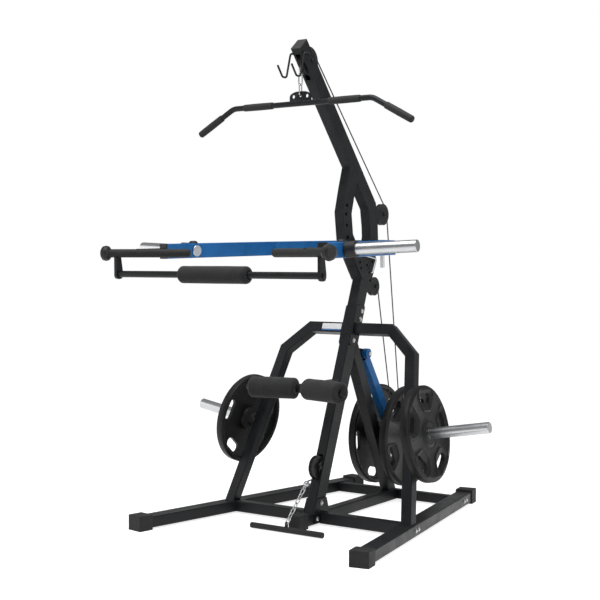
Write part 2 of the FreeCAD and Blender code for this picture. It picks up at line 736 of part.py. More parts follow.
def make_frame_bolts(bolts):
    """Foot plates at the mast, and the bolt heads of the whole frame."""
    low, high = s.rail_lift + 4, rail_top + 62
    front, back = s.cross_middle - 62, s.cross_middle + 52
    outline = [(front + 4, low), (back, low), (back, rail_top), (mast_rear(high) - 4, high),
               (mast_front(high) + 4, high), (mast_front(rail_top) - 2, rail_top), (front, rail_top - 6), (front, low + 6)]
    plates = []
    for side, sign in SIDES:
        plate = extrude(f"foot_plate_{side}", "YZ_Plane", outline, "plate_thick")
        plate.Placement = Placement(Vector(sign * (half_square + s.plate_thick / 2), 0, 0), Rotation())
        plates.append(plate)
        face, way = sign * (half_square + s.plate_thick), Vector(sign, 0, 0)
        bolts.append(bolt(f"foot_bolt_{side}_low", Vector(face, s.cross_middle - 44, rail_mid_z), way))
        bolts.append(bolt(f"foot_bolt_{side}_high", Vector(face, mast_front(high - 20) + mast_deep / 2, high - 20), way))
        normal = Vector(sign * cos(s.rail_splay), sin(s.rail_splay), 0)
        along_rail = Vector(-sign * sin(s.rail_splay), cos(s.rail_splay), 0)
        for k, (y, shift) in enumerate(((s.cross_middle, -17), (s.cross_middle, 17), (s.rear_cross_front, 4),
                                        (s.rear_cross_front, 38))):
            spot = Vector(sign * rail_x(y), y, rail_mid_z) + normal * (s.flat_wide / 2) + along_rail * shift
            bolts.append(bolt(f"rail_bolt_{side}_{k}", spot, normal, 7, 6))
    group("frame_bolts", bolts)
    return plates


# ---------------------------------------------------------------- weight plates and their horns

def weight_plate(name, radius, ring_r):
    """Cast plate, turned about local Z: dished behind, bevelled in front, with grip windows."""
    bore, back, front = "horn_r + bore_play", "plate_deep / 2", "plate_deep / 2"
    body = new_body(name)
    sketch = sketch_on(body, "XZ_Plane", name + "_profile")
    draw_outline(sketch, [
        (bore, f"-{back}"), ("horn_r + 26", f"-{back}"), ("horn_r + 31", f"plate_dish - {back}"),
        (f"{radius} - rim_wide - 6", f"plate_dish - {back}"), (f"{radius} - rim_wide", f"-{back}"),
        (f"{radius} - 3", f"-{back}"), (radius, f"3 - {back}"), (radius, f"{front} - rim_bevel"),
        (f"{radius} - rim_wide", f"{front} - 3"), ("horn_r + 29", f"{front} - 3"), ("horn_r + 26", front),
        (bore, front)])
    spin = body.newObject("PartDesign::Revolution", name + "_turn")
    spin.Profile = sketch
    spin.ReferenceAxis = (sketch, ["V_Axis"])
    doc.recompute()
    slot = sketch_on(body, "XY_Plane", name + "_window")
    reach = (s.window_long - s.window_wide) / 2
    r = s.window_wide / 2
    for side in (-1, 1):
        slot.addGeometry(Part.LineSegment(Vector(-reach, ring_r + side * r, 0), Vector(reach, ring_r + side * r, 0)), False)
        slot.addGeometry(Part.Arc(Vector(side * reach, ring_r + r, 0), Vector(side * (reach + r), ring_r, 0),
                                  Vector(side * reach, ring_r - r, 0)), False)
    window = body.newObject("PartDesign::Pocket", name + "_pocket")
    window.Profile = slot
    window.Midplane = True
    bind(window, Length="plate_deep * 2")
    doc.recompute()
    pattern = body.newObject("PartDesign::PolarPattern", name + "_windows")
    pattern.Originals = [window]
    pattern.Axis = (slot, ["N_Axis"])
    pattern.Angle = 360
    pattern.Occurrences = WINDOWS
    body.Tip = pattern
    doc.recompute()
    return body


def facing(way, turn):
    """Rotation of a plate whose front looks along a direction, turned about it in degrees."""
    return along(way, Vector(0, cos(turn), sin(turn)))


def store_axis(sign):
    """Root point on the arch leg's outer face and direction of a storage horn."""
    lean = math.atan2(s.arch_foot_x - s.arch_knee_x, up_slope(s.arch_knee_z))
    w = up_slope(s.store_z)
    x = s.arch_foot_x - w * math.tan(lean)
    turn = arch_plane().Rotation
    way = turn.multVec(Vector(math.cos(lean), math.sin(lean), 0))
    root = arch_plane().Base + turn.multVec(Vector(x, w, -half_square))
    return Vector(sign * root.x, root.y, root.z), Vector(sign * way.x, way.y, way.z)


def make_storage():
    flanges, horns = [], []
    for side, sign in SIDES:
        root, way = store_axis(sign)
        horns.append(horn(f"store_bar_{side}", root, root + way * s.store_long,
                          [s.store_gap + s.plate_deep + s.seat_gap]))
        sleeve = turned(f"flange_{side}", [("horn_r", 0), ("collar_r", 0), ("collar_r", "store_gap - 8.3"),
                                           ("flange_r", "store_gap - 8.3"), ("flange_r", "store_gap - 0.3"),
                                           ("horn_r", "store_gap - 0.3")], root, way)
        flanges.append(sleeve)
        plate = weight_plate(f"stored_plate_{side}", "store_plate_r", s.store_window_r)
        plate.Placement = Placement(root + way * (s.store_gap + s.plate_deep / 2), facing(way, -4 if sign > 0 else 34))
        keep(plate, f"stored_plate_{side}")
    group("storage_horns", horns)
    group("storage_flanges", flanges)


# ---------------------------------------------------------------- lever

lever_way = Vector(0, sin(s.lever_hang), -cos(s.lever_hang))
lever_back = Vector(0, cos(s.lever_hang), sin(s.lever_hang))
lever_pivot = Vector(0, s.pivot_y, s.pivot_z)
lever_end = lever_pivot + lever_way * s.lever_long
hub_r = s.horn_r + 9
eye_high = lever_pivot + lever_way * (s.lever_long - 12) + lever_back * s.tab_reach
eye_low = lever_pivot + lever_way * (s.lever_long - 66) + lever_back * (s.lever_deep / 2 + 22)


def make_lever():
    top = lever_pivot + lever_way * (s.sleeve_r - 1)
    bottom = lever_end - lever_way * (hub_r - 1)
    beam = tube("lever_beam", "lever_wide", "lever_deep", top, bottom)
    sleeves = []
    for side, sign in SIDES:
        start = lever_pivot + OUT * sign * (s.lug_half + 0.3)
        sleeves.append(ring(f"lever_sleeve_{side}", "lever_pin_r + running", "sleeve_r",
                            s.sleeve_long - s.lug_half - 0.3, start, OUT * sign))
    hub = ring("lever_hub", "horn_r", "horn_r + 9", s.lever_wide, lever_end - OUT * (s.lever_wide / 2), OUT)
    frame = fuse("lever_weld", [beam] + sleeves + [hub])
    gap = doc.addObject("Part::Box", "lever_gap")
    bind(gap, Length="lug_half * 2 + 0.6", Width="sleeve_r * 4", Height="sleeve_r * 2")
    gap.Placement = Placement(lever_pivot + OUT * -(s.lug_half + 0.3) - lever_back * (s.sleeve_r * 2)
                              + lever_way * (s.sleeve_r + 4), Rotation(OUT, s.lever_hang))
    horn_hole = doc.addObject("Part::Cylinder", "lever_horn_hole")
    bind(horn_hole, Radius="horn_r", Height="lever_wide * 2")
    horn_hole.Placement = Placement(lever_end - OUT * s.lever_wide, along(OUT, UP))
    pin_hole = doc.addObject("Part::Cylinder", "lever_pin_hole")
    bind(pin_hole, Radius="lever_pin_r + running", Height="lever_wide * 2")
    pin_hole.Placement = Placement(lever_pivot - OUT * s.lever_wide, along(OUT, UP))
    tools = fuse("lever_cuts", [gap, horn_hole, pin_hole])
    keep(subtract("lat_lever", frame, tools), "lat_lever")
    outside = s.lever_plate_mid + s.plate_deep / 2 + s.seat_gap
    stations = [s.lever_horn_long - outside - s.groove_wide, s.lever_horn_long + outside]
    bar = horn("lever_horn", lever_end - OUT * s.lever_horn_long, lever_end + OUT * s.lever_horn_long, stations)
    keep(bar, "lever_horn")
    stop_in = s.lever_plate_mid - s.plate_deep / 2 - 0.3
    stops = [ring(f"lever_stop_{side}", "horn_r", "collar_r + 6", stop_in - s.lever_wide / 2,
                  lever_end + OUT * sign * s.lever_wide / 2, OUT * sign) for side, sign in SIDES]
    group("lever_collars", stops)
    for side, sign in SIDES:
        plate = weight_plate(f"lever_plate_{side}", "lever_plate_r", s.lever_window_r)
        middle = lever_end + OUT * sign * s.lever_plate_mid
        plate.Placement = Placement(middle, facing(OUT * sign, -30 if sign > 0 else -13))
        keep(plate, f"lever_plate_{side}")
    inner = s.lever_deep / 2
    reach = s.tab_reach + 14
    low, high = s.lever_long - 84, s.lever_long - hub_r - 1
    tab = extrude("cable_tab", "XY_Plane", [(inner, low), (inner + 36, low), (reach, s.lever_long - 28),
                                            (reach, s.lever_long + 4), (reach - 30, s.lever_long + 4),
                                            (inner, high)], "tab_thick",
                  holes=[(("tab_reach", s.lever_long - 12), "eye_r"),
                         ((inner + 22, s.lever_long - 66), "eye_r")])
    tab.Placement = Placement(lever_pivot, Rotation(lever_back, lever_way, lever_back.cross(lever_way), "ZXY"))
    keep(tab, "cable_tab")


def strut_rear(z):
    """Rear face of the rear strut at a height z."""
    return s.strut_foot + s.strut_deep / cos(s.strut_lean) - (z - rail_top) * tan(s.strut_lean)


def lever_lug():
    """Lug on the rear strut that the lever hangs on."""
    low, high = s.pivot_z - 30, s.pivot_z + 28
    shelf = 22
    front = [(strut_rear(low), low), (s.pivot_y + 4, s.pivot_z - shelf), (s.pivot_y + shelf - 4, s.pivot_z - 8),
             (s.pivot_y + shelf - 4, s.pivot_z + 8), (s.pivot_y + 4, s.pivot_z + shelf), (strut_rear(high), high)]
    return extrude("lever_lug", "YZ_Plane", front, "lug_half * 2", holes=[(("pivot_y", "pivot_z"), "lever_pin_r")])


def make_pivot_pins():
    """Pins that the lever and the press arm turn on."""
    lever = rod("lever_pin", "lever_pin_r", lever_pivot - OUT * (s.sleeve_long + 8),
                lever_pivot + OUT * (s.sleeve_long + 8), 1)
    press = rod("press_pin", "press_pin_r", press_pivot - OUT * (half_square + 62),
                press_pivot + OUT * (half_square + 62), 1)
    group("pivot_pins", [lever, press])


# ---------------------------------------------------------------- press arm

press_pivot = Vector(0, s.press_y, s.press_z)


def on_arm(x, y, lift=0):
    """Point of the press arm's plane, which dips towards the user."""
    return Vector(x, y, s.press_z - (s.press_y - y) * tan(s.press_dip) + lift)


def make_press_arm():
    turn = Rotation(OUT, s.press_dip)
    for side, sign in SIDES:
        sleeve_in, sleeve_out = half_square + s.plate_thick + 0.5, half_square + 56
        line = [(sleeve_in + 26, s.press_y), (s.arm_bend_x, s.arm_bend_y), (s.arm_front_x, s.arm_front_y)]
        centre = [(sign * x, y - s.press_y) for x, y in line]
        edge_a, edge_b = offset_line(centre, s.arm_wide / 2), offset_line(centre, -s.arm_wide / 2)
        beam = bent_tube(f"arm_beam_{side}", "XY_Plane", edge_a + list(reversed(edge_b)), "arm_tall",
                         {len(line) - 1, len(line) * 2 - 1})
        beam.Placement = Placement(press_pivot, turn)
        sleeve = ring(f"press_sleeve_{side}", "press_pin_r + running", "press_pin_r + 18", sleeve_out - sleeve_in,
                      press_pivot + OUT * sign * sleeve_in, OUT * sign)
        weld = fuse(f"press_weld_{side}", [beam, sleeve])
        horn_mid, way = press_horn(sign)
        clear = doc.addObject("Part::Cylinder", f"press_horn_hole_{side}")
        bind(clear, Radius="horn_r", Height="arm_wide * 3")
        clear.Placement = Placement(horn_mid - way * (s.arm_wide * 1.5), along(way, UP))
        pin = doc.addObject("Part::Cylinder", f"press_pin_hole_{side}")
        bind(pin, Radius="press_pin_r + running", Height="arm_wide * 4")
        pin.Placement = Placement(press_pivot, along(OUT * sign, UP))
        side_gap = doc.addObject("Part::Box", f"press_side_gap_{side}")
        bind(side_gap, Length="square / 2 + plate_thick + 0.5", Width="square * 6", Height="square * 6")
        shift = Vector(0 if sign > 0 else -sleeve_in, -s.square * 3, -s.square * 3)
        side_gap.Placement = Placement(press_pivot + shift, Rotation())
        cuts = fuse(f"press_cuts_{side}", [clear, pin, side_gap])
        keep(subtract(f"press_arm_{side}", weld, cuts), f"press_arm_{side}")
    domes = make_press_horns()
    make_handles(domes)


def press_horn(sign):
    """Middle of the arm tube at the horn, and the horn's direction."""
    part = (s.arm_bend_y - s.press_horn_y) / (s.arm_bend_y - s.arm_front_y)
    x = s.arm_bend_x + (s.arm_front_x - s.arm_bend_x) * part
    way = Vector(sign * cos(s.press_horn_toe), sin(s.press_horn_toe), tan(s.press_horn_cant)).normalize()
    return on_arm(sign * x, s.press_horn_y), way


def make_press_horns():
    collars, domes, horns, posts = [], [], [], []
    for side, sign in SIDES:
        middle, way = press_horn(sign)
        start = s.arm_wide / 2 + 2
        horns.append(horn(f"press_bar_{side}", middle - way * s.press_horn_in, middle + way * s.press_horn_out,
                          [s.press_horn_in + start + s.collar_long + s.seat_gap]))
        collars.append(ring(f"press_collar_{side}", "horn_r", "collar_r", s.collar_long, middle + way * start, way, 3))
        top = on_arm(middle.x, middle.y, s.arm_tall / 2 / cos(s.press_dip))
        domes.append(turned(f"arm_dome_{side}", [(0, 0), (20, 0), (20, 3), (15, 9), (7, 11), (0, 11)], top,
                            Vector(0, -sin(s.press_dip), cos(s.press_dip))))
        x = (s.arm_bend_x + half_square) / 2
        y = s.press_y - (s.press_y - s.arm_bend_y) * (x - half_square) / (s.arm_bend_x - half_square)
        foot = on_arm(sign * x, y, -s.arm_tall / 2 / cos(s.press_dip))
        down = Vector(0, sin(s.press_dip), -cos(s.press_dip))
        posts.append(turned(f"arm_post_{side}", [(0, 0), ("post_r", 0), ("post_r", "post_long - 1"),
                                                 ("post_r - 1", "post_long"), (0, "post_long")], foot, down))
    group("press_horns", horns)
    group("horn_collars", collars)
    group("arm_posts", posts)
    return domes


def make_handles(studs):
    plugs, necks, grips, balls, links = [], [], [], [], []
    for side, sign in SIDES:
        inner = Vector(sign * s.grip_in_x, s.grip_in_y, s.grip_z)
        outer = Vector(sign * s.grip_out_x, s.grip_out_y, s.grip_z)
        way = (outer - inner).normalize()
        run = Vector(sign * (s.arm_front_x - s.arm_bend_x), s.arm_front_y - s.arm_bend_y, 0).normalize()
        level = Vector(run.x, run.y * cos(s.press_dip), run.y * sin(s.press_dip))
        end = on_arm(sign * s.arm_front_x, s.arm_front_y)
        plug = extrude(f"arm_plug_{side}", "XY_Plane", [("-arm_wide / 2", "-arm_tall / 2"), ("arm_wide / 2", "-arm_tall / 2"),
                                                         ("arm_wide / 2", "arm_tall / 2"), ("-arm_wide / 2", "arm_tall / 2")], 10)
        round_edges(plug, long_edges(plug.Tip.Shape, UP), "corner")
        plug.Placement = Placement(end + level * 5, along(level, OUT))
        plugs.append(plug)
        reach = crossing((end.x, end.y), (end.x + level.x, end.y + level.y), (inner.x, inner.y), (outer.x, outer.y))
        start = end + level * 10
        neck = rod(f"neck_bar_{side}", "grip_r - 4", start, start + level * (end.y - reach[1]), 0.5)
        room = doc.addObject("Part::Cylinder", f"grip_room_{side}")
        bind(room, Radius="grip_r + seat_gap", Height="arm_bend_x * 3")
        room.Placement = Placement(inner - way * s.arm_bend_x, along(way, UP))
        necks.append(subtract(f"neck_{side}", neck, room))
        long = (outer - inner).Length - s.ball_long / 2
        grips.append(turned(f"grip_{side}", [(0, 0), ("grip_r - 9", 0), ("grip_r - 3", 3), ("grip_r", 10), ("grip_r", long),
                                             (0, long)], inner, way))
        ball = s.ball_long
        balls.append(turned(f"ball_{side}", [(0, 0), ("ball_r - 12", 0), ("ball_r - 3", 7), ("ball_r", ball / 2),
                                             ("ball_r - 3", ball - 7), ("ball_r - 12", ball), (0, ball)],
                            outer - way * (ball / 2), way))
        links.append(subtract(f"link_{side}", make_link(side, sign, inner, outer), room))
        studs.append(bolt(f"bar_bolt_{side}", Vector(sign * (s.low_bar_x + 7), s.low_bar_y, s.low_bar_z),
                          Vector(sign, 0, 0), 9, 9))
    group("press_grips", grips)
    group("arm_ends", plugs + balls)
    group("handle_links", necks + links)
    group("arm_studs", studs)
    half = s.low_bar_x - 7
    keep(rod("cross_handle", "low_bar_r", Vector(-half, s.low_bar_y, s.low_bar_z),
             Vector(half, s.low_bar_y, s.low_bar_z), 1), "lower_bar")
    foam = s.foam_long
    keep(turned("foam", [("low_bar_r + running", 0), ("foam_r - 12", 0), ("foam_r - 3", 5), ("foam_r", 14),
                         ("foam_r", foam - 14), ("foam_r - 3", foam - 5), ("foam_r - 12", foam),
                         ("low_bar_r + running", foam)],
                Vector(-foam / 2, s.low_bar_y, s.low_bar_z), OUT), "foam_roll")


def make_link(side, sign, inner, outer):
    """Flat link that carries the lower bar below the handle."""
    x = s.low_bar_x
    part = (x - s.grip_in_x) / (s.grip_out_x - s.grip_in_x)
    top = inner + (outer - inner) * part
    rise = top.z - s.low_bar_z - s.grip_r / 2
    shift = top.y - s.low_bar_y
    plate = extrude(f"link_bar_{side}", "YZ_Plane", [
        (-20, -8), (-13, -19), (0, -22), (13, -19), (20, -8), (20, 8), (shift + 14, rise), (shift - 14, rise),
        (-20, 8)], 14)
    plate.Placement = Placement(Vector(sign * x, s.low_bar_y, s.low_bar_z), Rotation())
    return plate


# ---------------------------------------------------------------- leg rollers

def make_rollers():
    middle = Vector(0, s.roller_y, s.roller_z)
    reach = s.roller_in + s.roller_long + 6
    shafts, caps = [], []
    for side, sign in SIDES:
        way = Vector(sign * cos(s.roller_toe), -sin(s.roller_toe), 0)
        shafts.append(rod(f"roller_rod_{side}", "shaft_r", middle, middle + way * reach, 1))
        long = s.roller_long
        roller = turned(f"leg_roller_{side}", [
            ("shaft_r + running", 0), ("roller_r - 18", 0), ("roller_r - 6", 5), ("roller_r", 18),
            ("roller_r", long - 18), ("roller_r - 6", long - 5), ("roller_r - 18", long),
            ("shaft_r + running", long)], middle + way * s.roller_in, way)
        keep(roller, f"leg_roller_{side}")
        caps.append(turned(f"roller_cap_{side}", [(0, 0), (19, 0), (19, 4), (14, 8), (0, 8)], middle + way * reach, way))
    shaft = fuse("roller_vee", shafts)
    group("roller_shaft", [shaft] + caps)
    half = s.arm_wide / 2
    front_z = s.roller_z
    arm = extrude("roller_arm_bar", "YZ_Plane", [
        (s.roller_y + s.shaft_r + 3, front_z - half), (mast_front(front_z - half), front_z - half),
        (mast_front(front_z + half), front_z + half), (s.roller_y + s.shaft_r + 3, front_z + half)], "arm_wide")
    hollow(arm, faces_towards((0, cos(s.mast_lean), -sin(s.mast_lean))))
    boss = ring("roller_boss", "shaft_r", "shaft_r + 8", "arm_wide", middle - OUT * (s.arm_wide / 2), OUT)
    weld = fuse("roller_weld", [arm, boss])
    keep(subtract("roller_arm", weld, shaft), "roller_arm")


# ---------------------------------------------------------------- pulleys, their brackets and the cables

def pulley(name, radius, centre):
    """Grooved wheel that turns on a bolt along X."""
    wide = s.pulley_wide
    rim = f"{radius} + cable_r + 4"
    return keep(turned(name + "_wheel", [
        ("axle_r + running", 0), ("axle_r + 9", 0), ("axle_r + 9", 3), (f"{radius} - 8", 3), (f"{radius} - 5", 0),
        (rim, 0), (rim, 2.5), (radius, wide / 2 - 3), (radius, wide / 2 + 3), (rim, wide - 2.5), (rim, wide),
        (f"{radius} - 5", wide), (f"{radius} - 8", wide - 3), ("axle_r + 9", wide - 3), ("axle_r + 9", wide),
        ("axle_r + running", wide)], Vector(centre) - OUT * (wide / 2), OUT), name)


PULLEYS = {
    "boom_pulley": ("boom_pulley_r", Vector(0, s.boom_pulley_y, s.boom_pulley_z), half_square),
    "upper_pulley": ("pulley_r", Vector(0, s.upper_pulley_y, s.upper_pulley_z), s.pulley_wide / 2 + 8),
    "back_pulley": ("small_pulley_r", Vector(0, s.back_pulley_y, s.back_pulley_z), s.pulley_wide / 2 + 8),
    "low_pulley": ("pulley_r", Vector(0, s.low_pulley_y, s.low_pulley_z), s.pulley_wide / 2 + 8),
}


def make_pulleys():
    axles = []
    for name, (radius, centre, seat) in PULLEYS.items():
        pulley(name, radius, centre)
        head = 6
        axles.append(turned(f"{name}_axle", [
            (0, -seat - head), ("axle_r + 3", -seat - head), ("axle_r + 5", -seat - head + 3), ("axle_r + 5", -seat),
            ("axle_r", -seat), ("axle_r", seat), ("axle_r + 5", seat), ("axle_r + 5", seat + head - 3),
            ("axle_r + 3", seat + head), (0, seat + head)], centre, OUT))
    group("pulley_axles", axles)
    make_brackets()


def bracket_pair(name, points, centre):
    """Two side plates that hold a pulley's axle."""
    gap, thick = s.pulley_wide / 2 + 2, "plate_thick"
    plates = []
    for side, sign in SIDES:
        plate = extrude(f"{name}_{side}", "YZ_Plane", points, thick, holes=[((centre.y, centre.z), "axle_r")])
        plate.Placement = Placement(Vector(sign * (gap + s.plate_thick / 2), 0, 0), Rotation())
        plates.append(plate)
    return plates


def make_brackets():
    plates = []
    c = PULLEYS["upper_pulley"][1]
    plates += bracket_pair("upper_bracket", [
        (back_line(c.z + 26), c.z + 26), (back_line(c.z - 26), c.z - 26), (c.y + 6, c.z - 15), (c.y + 15, c.z),
        (c.y + 6, c.z + 15)], c)
    c = PULLEYS["back_pulley"][1]
    plates += bracket_pair("back_bracket", [
        (mast_rear(c.z + 24), c.z + 24), (mast_rear(c.z - 30), c.z - 30), (c.y + 6, c.z - 15), (c.y + 15, c.z),
        (c.y + 6, c.z + 15)], c)
    c = PULLEYS["low_pulley"][1]
    plates += bracket_pair("low_bracket", [
        (mast_front(c.z - 34), c.z - 34), (mast_front(c.z + 34), c.z + 34), (c.y - 6, c.z + 15), (c.y - 15, c.z),
        (c.y - 6, c.z - 15)], c)
    group("pulley_brackets", plates)


def back_line(z):
    """Rear face of the rear branch at a height z."""
    a, b = (s.back_top_y, s.back_top_z), boom_corner()
    return a[0] + (b[0] - a[0]) * (z - a[1]) / (b[1] - a[1])


def tangent_wire(start, wheels, end):
    """Taut line from start, round the wheels and on to end, in the plane of symmetry.

    Each wheel is (centre y, centre z, radius, turn); turn is 1 for clockwise seen from +X.
    """
    stations = [(start[0], start[1], 0, 1)] + list(wheels) + [(end[0], end[1], 0, 1)]
    touches = []
    for (y1, z1, r1, t1), (y2, z2, r2, t2) in zip(stations, stations[1:]):
        dy, dz = y2 - y1, z2 - z1
        apart = math.hypot(dy, dz)
        a1, a2 = r1 * t1, r2 * t2
        lean = math.asin((a2 - a1) / apart)
        heading = math.atan2(dz, dy) + lean
        ny, nz = -math.sin(heading), math.cos(heading)
        touches.append((Vector(0, y1 + ny * a1, z1 + nz * a1), Vector(0, y2 + ny * a2, z2 + nz * a2)))
    edges = []
    for i, (leave, arrive) in enumerate(touches):
        edges.append(Part.LineSegment(leave, arrive).toShape())
        if i < len(wheels):
            y, z, r, turn = wheels[i]
            centre = Vector(0, y, z)
            into, out = (arrive - centre), (touches[i + 1][0] - centre)
            middle = (into + out).normalize() * r
            on_way = (arrive - leave).normalize()
            if middle.dot(on_way) < 0 and into.getAngle(out) < math.pi * 0.98:
                middle = middle * -1
            edges.append(Part.Arc(arrive, centre + middle, touches[i + 1][0]).toShape())
    return Part.Wire(edges)


lat_y = s.boom_pulley_y - s.boom_pulley_r - s.cable_r


def make_cables():
    """The lat cable and the row cable, each in the runs that the moving bodies carry."""
    grip = s.pulley_r + s.cable_r
    lift_way = (Vector(0, s.upper_pulley_y + grip, s.upper_pulley_z) - eye_high).normalize()
    fork_top = eye_high + lift_way * s.fork_long
    lat = tangent_wire((lat_y, ring_top()), [
        (s.boom_pulley_y, s.boom_pulley_z, s.boom_pulley_r + s.cable_r, 1),
        (s.upper_pulley_y, s.upper_pulley_z, grip, 1)], (fork_top.y, fork_top.z)).OrderedEdges
    pipe("lat_drop", Part.Wire(lat[:1]), s.cable_r)
    pipe("lat_cable", Part.Wire(lat[1:4]), s.cable_r)
    pipe("lat_lift", Part.Wire(lat[4:]), s.cable_r)
    small = s.small_pulley_r + s.cable_r
    row_way = (Vector(0, s.back_pulley_y + small, s.back_pulley_z) - eye_low).normalize()
    row_start = eye_low + row_way * s.fork_long
    guide = (mast_front(s.guide_z) + mast_deep / 2, s.guide_z)
    row = tangent_wire((row_start.y, row_start.z), [(s.back_pulley_y, s.back_pulley_z, small, -1)],
                       guide).OrderedEdges
    low = tangent_wire(guide, [(s.low_pulley_y, s.low_pulley_z, grip, 1)],
                       (row_end().y, row_end().z)).OrderedEdges
    bend = rounded_path([row[2].Vertexes[0].Point, row[2].Vertexes[1].Point, low[0].Vertexes[1].Point], s.guide_r)
    pipe("row_lift", Part.Wire(row[:1]), s.cable_r)
    pipe("row_cable", Part.Wire(row[1:2] + bend.OrderedEdges + low[1:]), s.cable_r)
    forks = [cable_fork("lat_fork", eye_high, lift_way), cable_fork("row_fork", eye_low, row_way)]
    group("cable_forks", forks)
    print("cable arcs", grip, small, s.boom_pulley_r + s.cable_r, s.guide_r)


def ring_top():
    """Height where the drop of the lat cable meets the fitting above the chain."""
    return lat_hole_z() + s.hook_chain + s.ring_r * 2 + s.wire_r + s.crimp_long - 1


def row_end():
    """Place where the row cable meets its ball."""
    return Vector(0, s.low_pulley_y - s.row_lead, s.low_pulley_z - s.pulley_r - s.cable_r - s.row_fall)


def cable_fork(name, eye, way):
    """Forked end that holds a cable to a hole in the lever's tab."""
    slot = s.tab_thick / 2 + 0.5
    cheek = slot + 3.5
    fork = extrude(name + "_cheeks", "XZ_Plane", [
        (-cheek, -8), (-slot, -8), (-slot, s.fork_long - 9), (slot, s.fork_long - 9), (slot, -8), (cheek, -8),
        (cheek, s.fork_long - 6), (cheek - 4, s.fork_long), (4 - cheek, s.fork_long), (-cheek, s.fork_long - 6)], 14)
    fork.Placement = Placement(eye, along(way, OUT))
    pin = rod(name + "_pin", "eye_r - seat_gap", eye - OUT * (cheek + 3), eye + OUT * (cheek + 3), 1)
    return fuse(name, [fork, pin])


# ---------------------------------------------------------------- lat bar, row bar and small parts

def link(name, top, long, way, across, r, half):
    """Closed oval of round wire in the plane of its way and its across direction."""
    far = Vector(top) + way * long
    a, b = Vector(top) + way * half, far - way * half
    left, right = across * -half, across * half
    edges = [Part.Arc(a + left, a - way * half, a + right).toShape(),
             Part.LineSegment(a + right, b + right).toShape(),
             Part.Arc(b + right, b + way * half, b + left).toShape(),
             Part.LineSegment(b + left, a + left).toShape()]
    section = Part.Wire([Part.makeCircle(r, a + left, way)])
    made = doc.addObject("Part::Feature", name)
    made.Shape = Part.Wire(edges).makePipeShell([section], True, False)
    return made


def chain(name, start, end, count, across, r, half):
    """Row of interlocked links between two wires; every other one is turned by a quarter."""
    run = Vector(end) - Vector(start)
    way = Vector(run).normalize()
    other = way.cross(across)
    hook = r * 2 + s.seat_gap
    long = (run.Length + hook * count) / count
    links = []
    for i in range(count):
        top = Vector(start) + way * (i * (long - hook) - hook)
        links.append(link(f"{name}_{i}", top, long, way, across if i % 2 == 0 else other, r, half))
    return links


def eye_end(name, base, way, spin, profile, stem):
    """Turned fitting on a cable's end with a ring of wire below it."""
    body = turned(name + "_stem", profile, base, way)
    hoop = doc.addObject("Part::Torus", name + "_ring")
    bind(hoop, Radius1="ring_r", Radius2="wire_r")
    hoop.Placement = Placement(Vector(base) + way * (stem + s.ring_r + s.wire_r - 1), along(spin, way))
    return fuse(name, [body, hoop])


def lat_hole_z():
    """Height of the wire that passes through the hanger's middle hole."""
    return s.lat_z + s.hanger_hole + s.hanger_hole_r - s.wire_r - s.seat_gap * 3


def make_lat_bar():
    y, z = lat_y, s.lat_z
    points = [Vector(-s.lat_end_x, y, z - s.lat_drop), Vector(-s.lat_half, y, z),
              Vector(s.lat_half, y, z), Vector(s.lat_end_x, y, z - s.lat_drop)]
    pipe("lat_bar", rounded_path(points, 70), s.lat_r)
    grips = []
    slant = Vector(s.lat_end_x - s.lat_half, 0, -s.lat_drop).normalize()
    long = 150
    for side, sign in SIDES:
        way = Vector(sign * slant.x, 0, slant.z)
        end = Vector(sign * s.lat_end_x, y, z - s.lat_drop)
        grips.append(turned(f"end_grip_{side}", [
            ("lat_r", 0), ("lat_r + 5", 0), ("lat_r + 5", 4), ("lat_r + 3", 7), ("lat_r + 3", long - 12),
            ("lat_r + 6", long - 6), ("lat_r + 6", long), (0, long), (0, long - 3), ("lat_r", long - 3)],
            end - way * (long - 3), way))
        start = Vector(sign * 150, y, z)
        grips.append(turned(f"mid_grip_{side}", [
            ("lat_r", 0), ("lat_r + 5", 0), ("lat_r + 5", 4), ("lat_r + 3", 7), ("lat_r + 3", 153),
            ("lat_r + 5", 156), ("lat_r + 5", 160), ("lat_r", 160)], start, OUT * sign))
    group("lat_grips", grips)
    plate = extrude("lat_plate", "XZ_Plane", [(-46, 0), (46, 0), (46, 18), (30, 36), (14, 44), (-14, 44),
                                              (-30, 36), (-46, 18)], "plate_thick",
                    holes=[((0, "hanger_hole"), "hanger_hole_r"), ((-25, 24), 5), ((25, 24), 5)])
    plate.Placement = Placement(Vector(0, y, z), Rotation())
    keep(coped("lat_hanger", plate, "lat_r", Vector(0, y, z)), "lat_hanger")
    low = Vector(0, y, lat_hole_z())
    high = low + UP * s.hook_chain
    hooks = chain("lat_hook", high, low, 2, OUT, s.wire_r, s.link_half)
    crimp = eye_end("lat_crimp", Vector(0, y, ring_top()), UP * -1, OUT, [
        (0, 0), (5, 0), (7.5, 3), (7.5, "crimp_long - 3"), (5, "crimp_long"), (0, "crimp_long")], s.crimp_long)
    group("lat_chain", [crimp] + hooks)


def coped(name, plate, radius, middle):
    """Fit a plate's foot to the round bar along X that it is welded to."""
    bar = doc.addObject("Part::Cylinder", name + "_bar")
    bind(bar, Radius=f"{radius} + running", Height="square * 4")
    bar.Placement = Placement(middle - OUT * (s.square * 2), along(OUT, UP))
    return subtract(name, plate, bar)


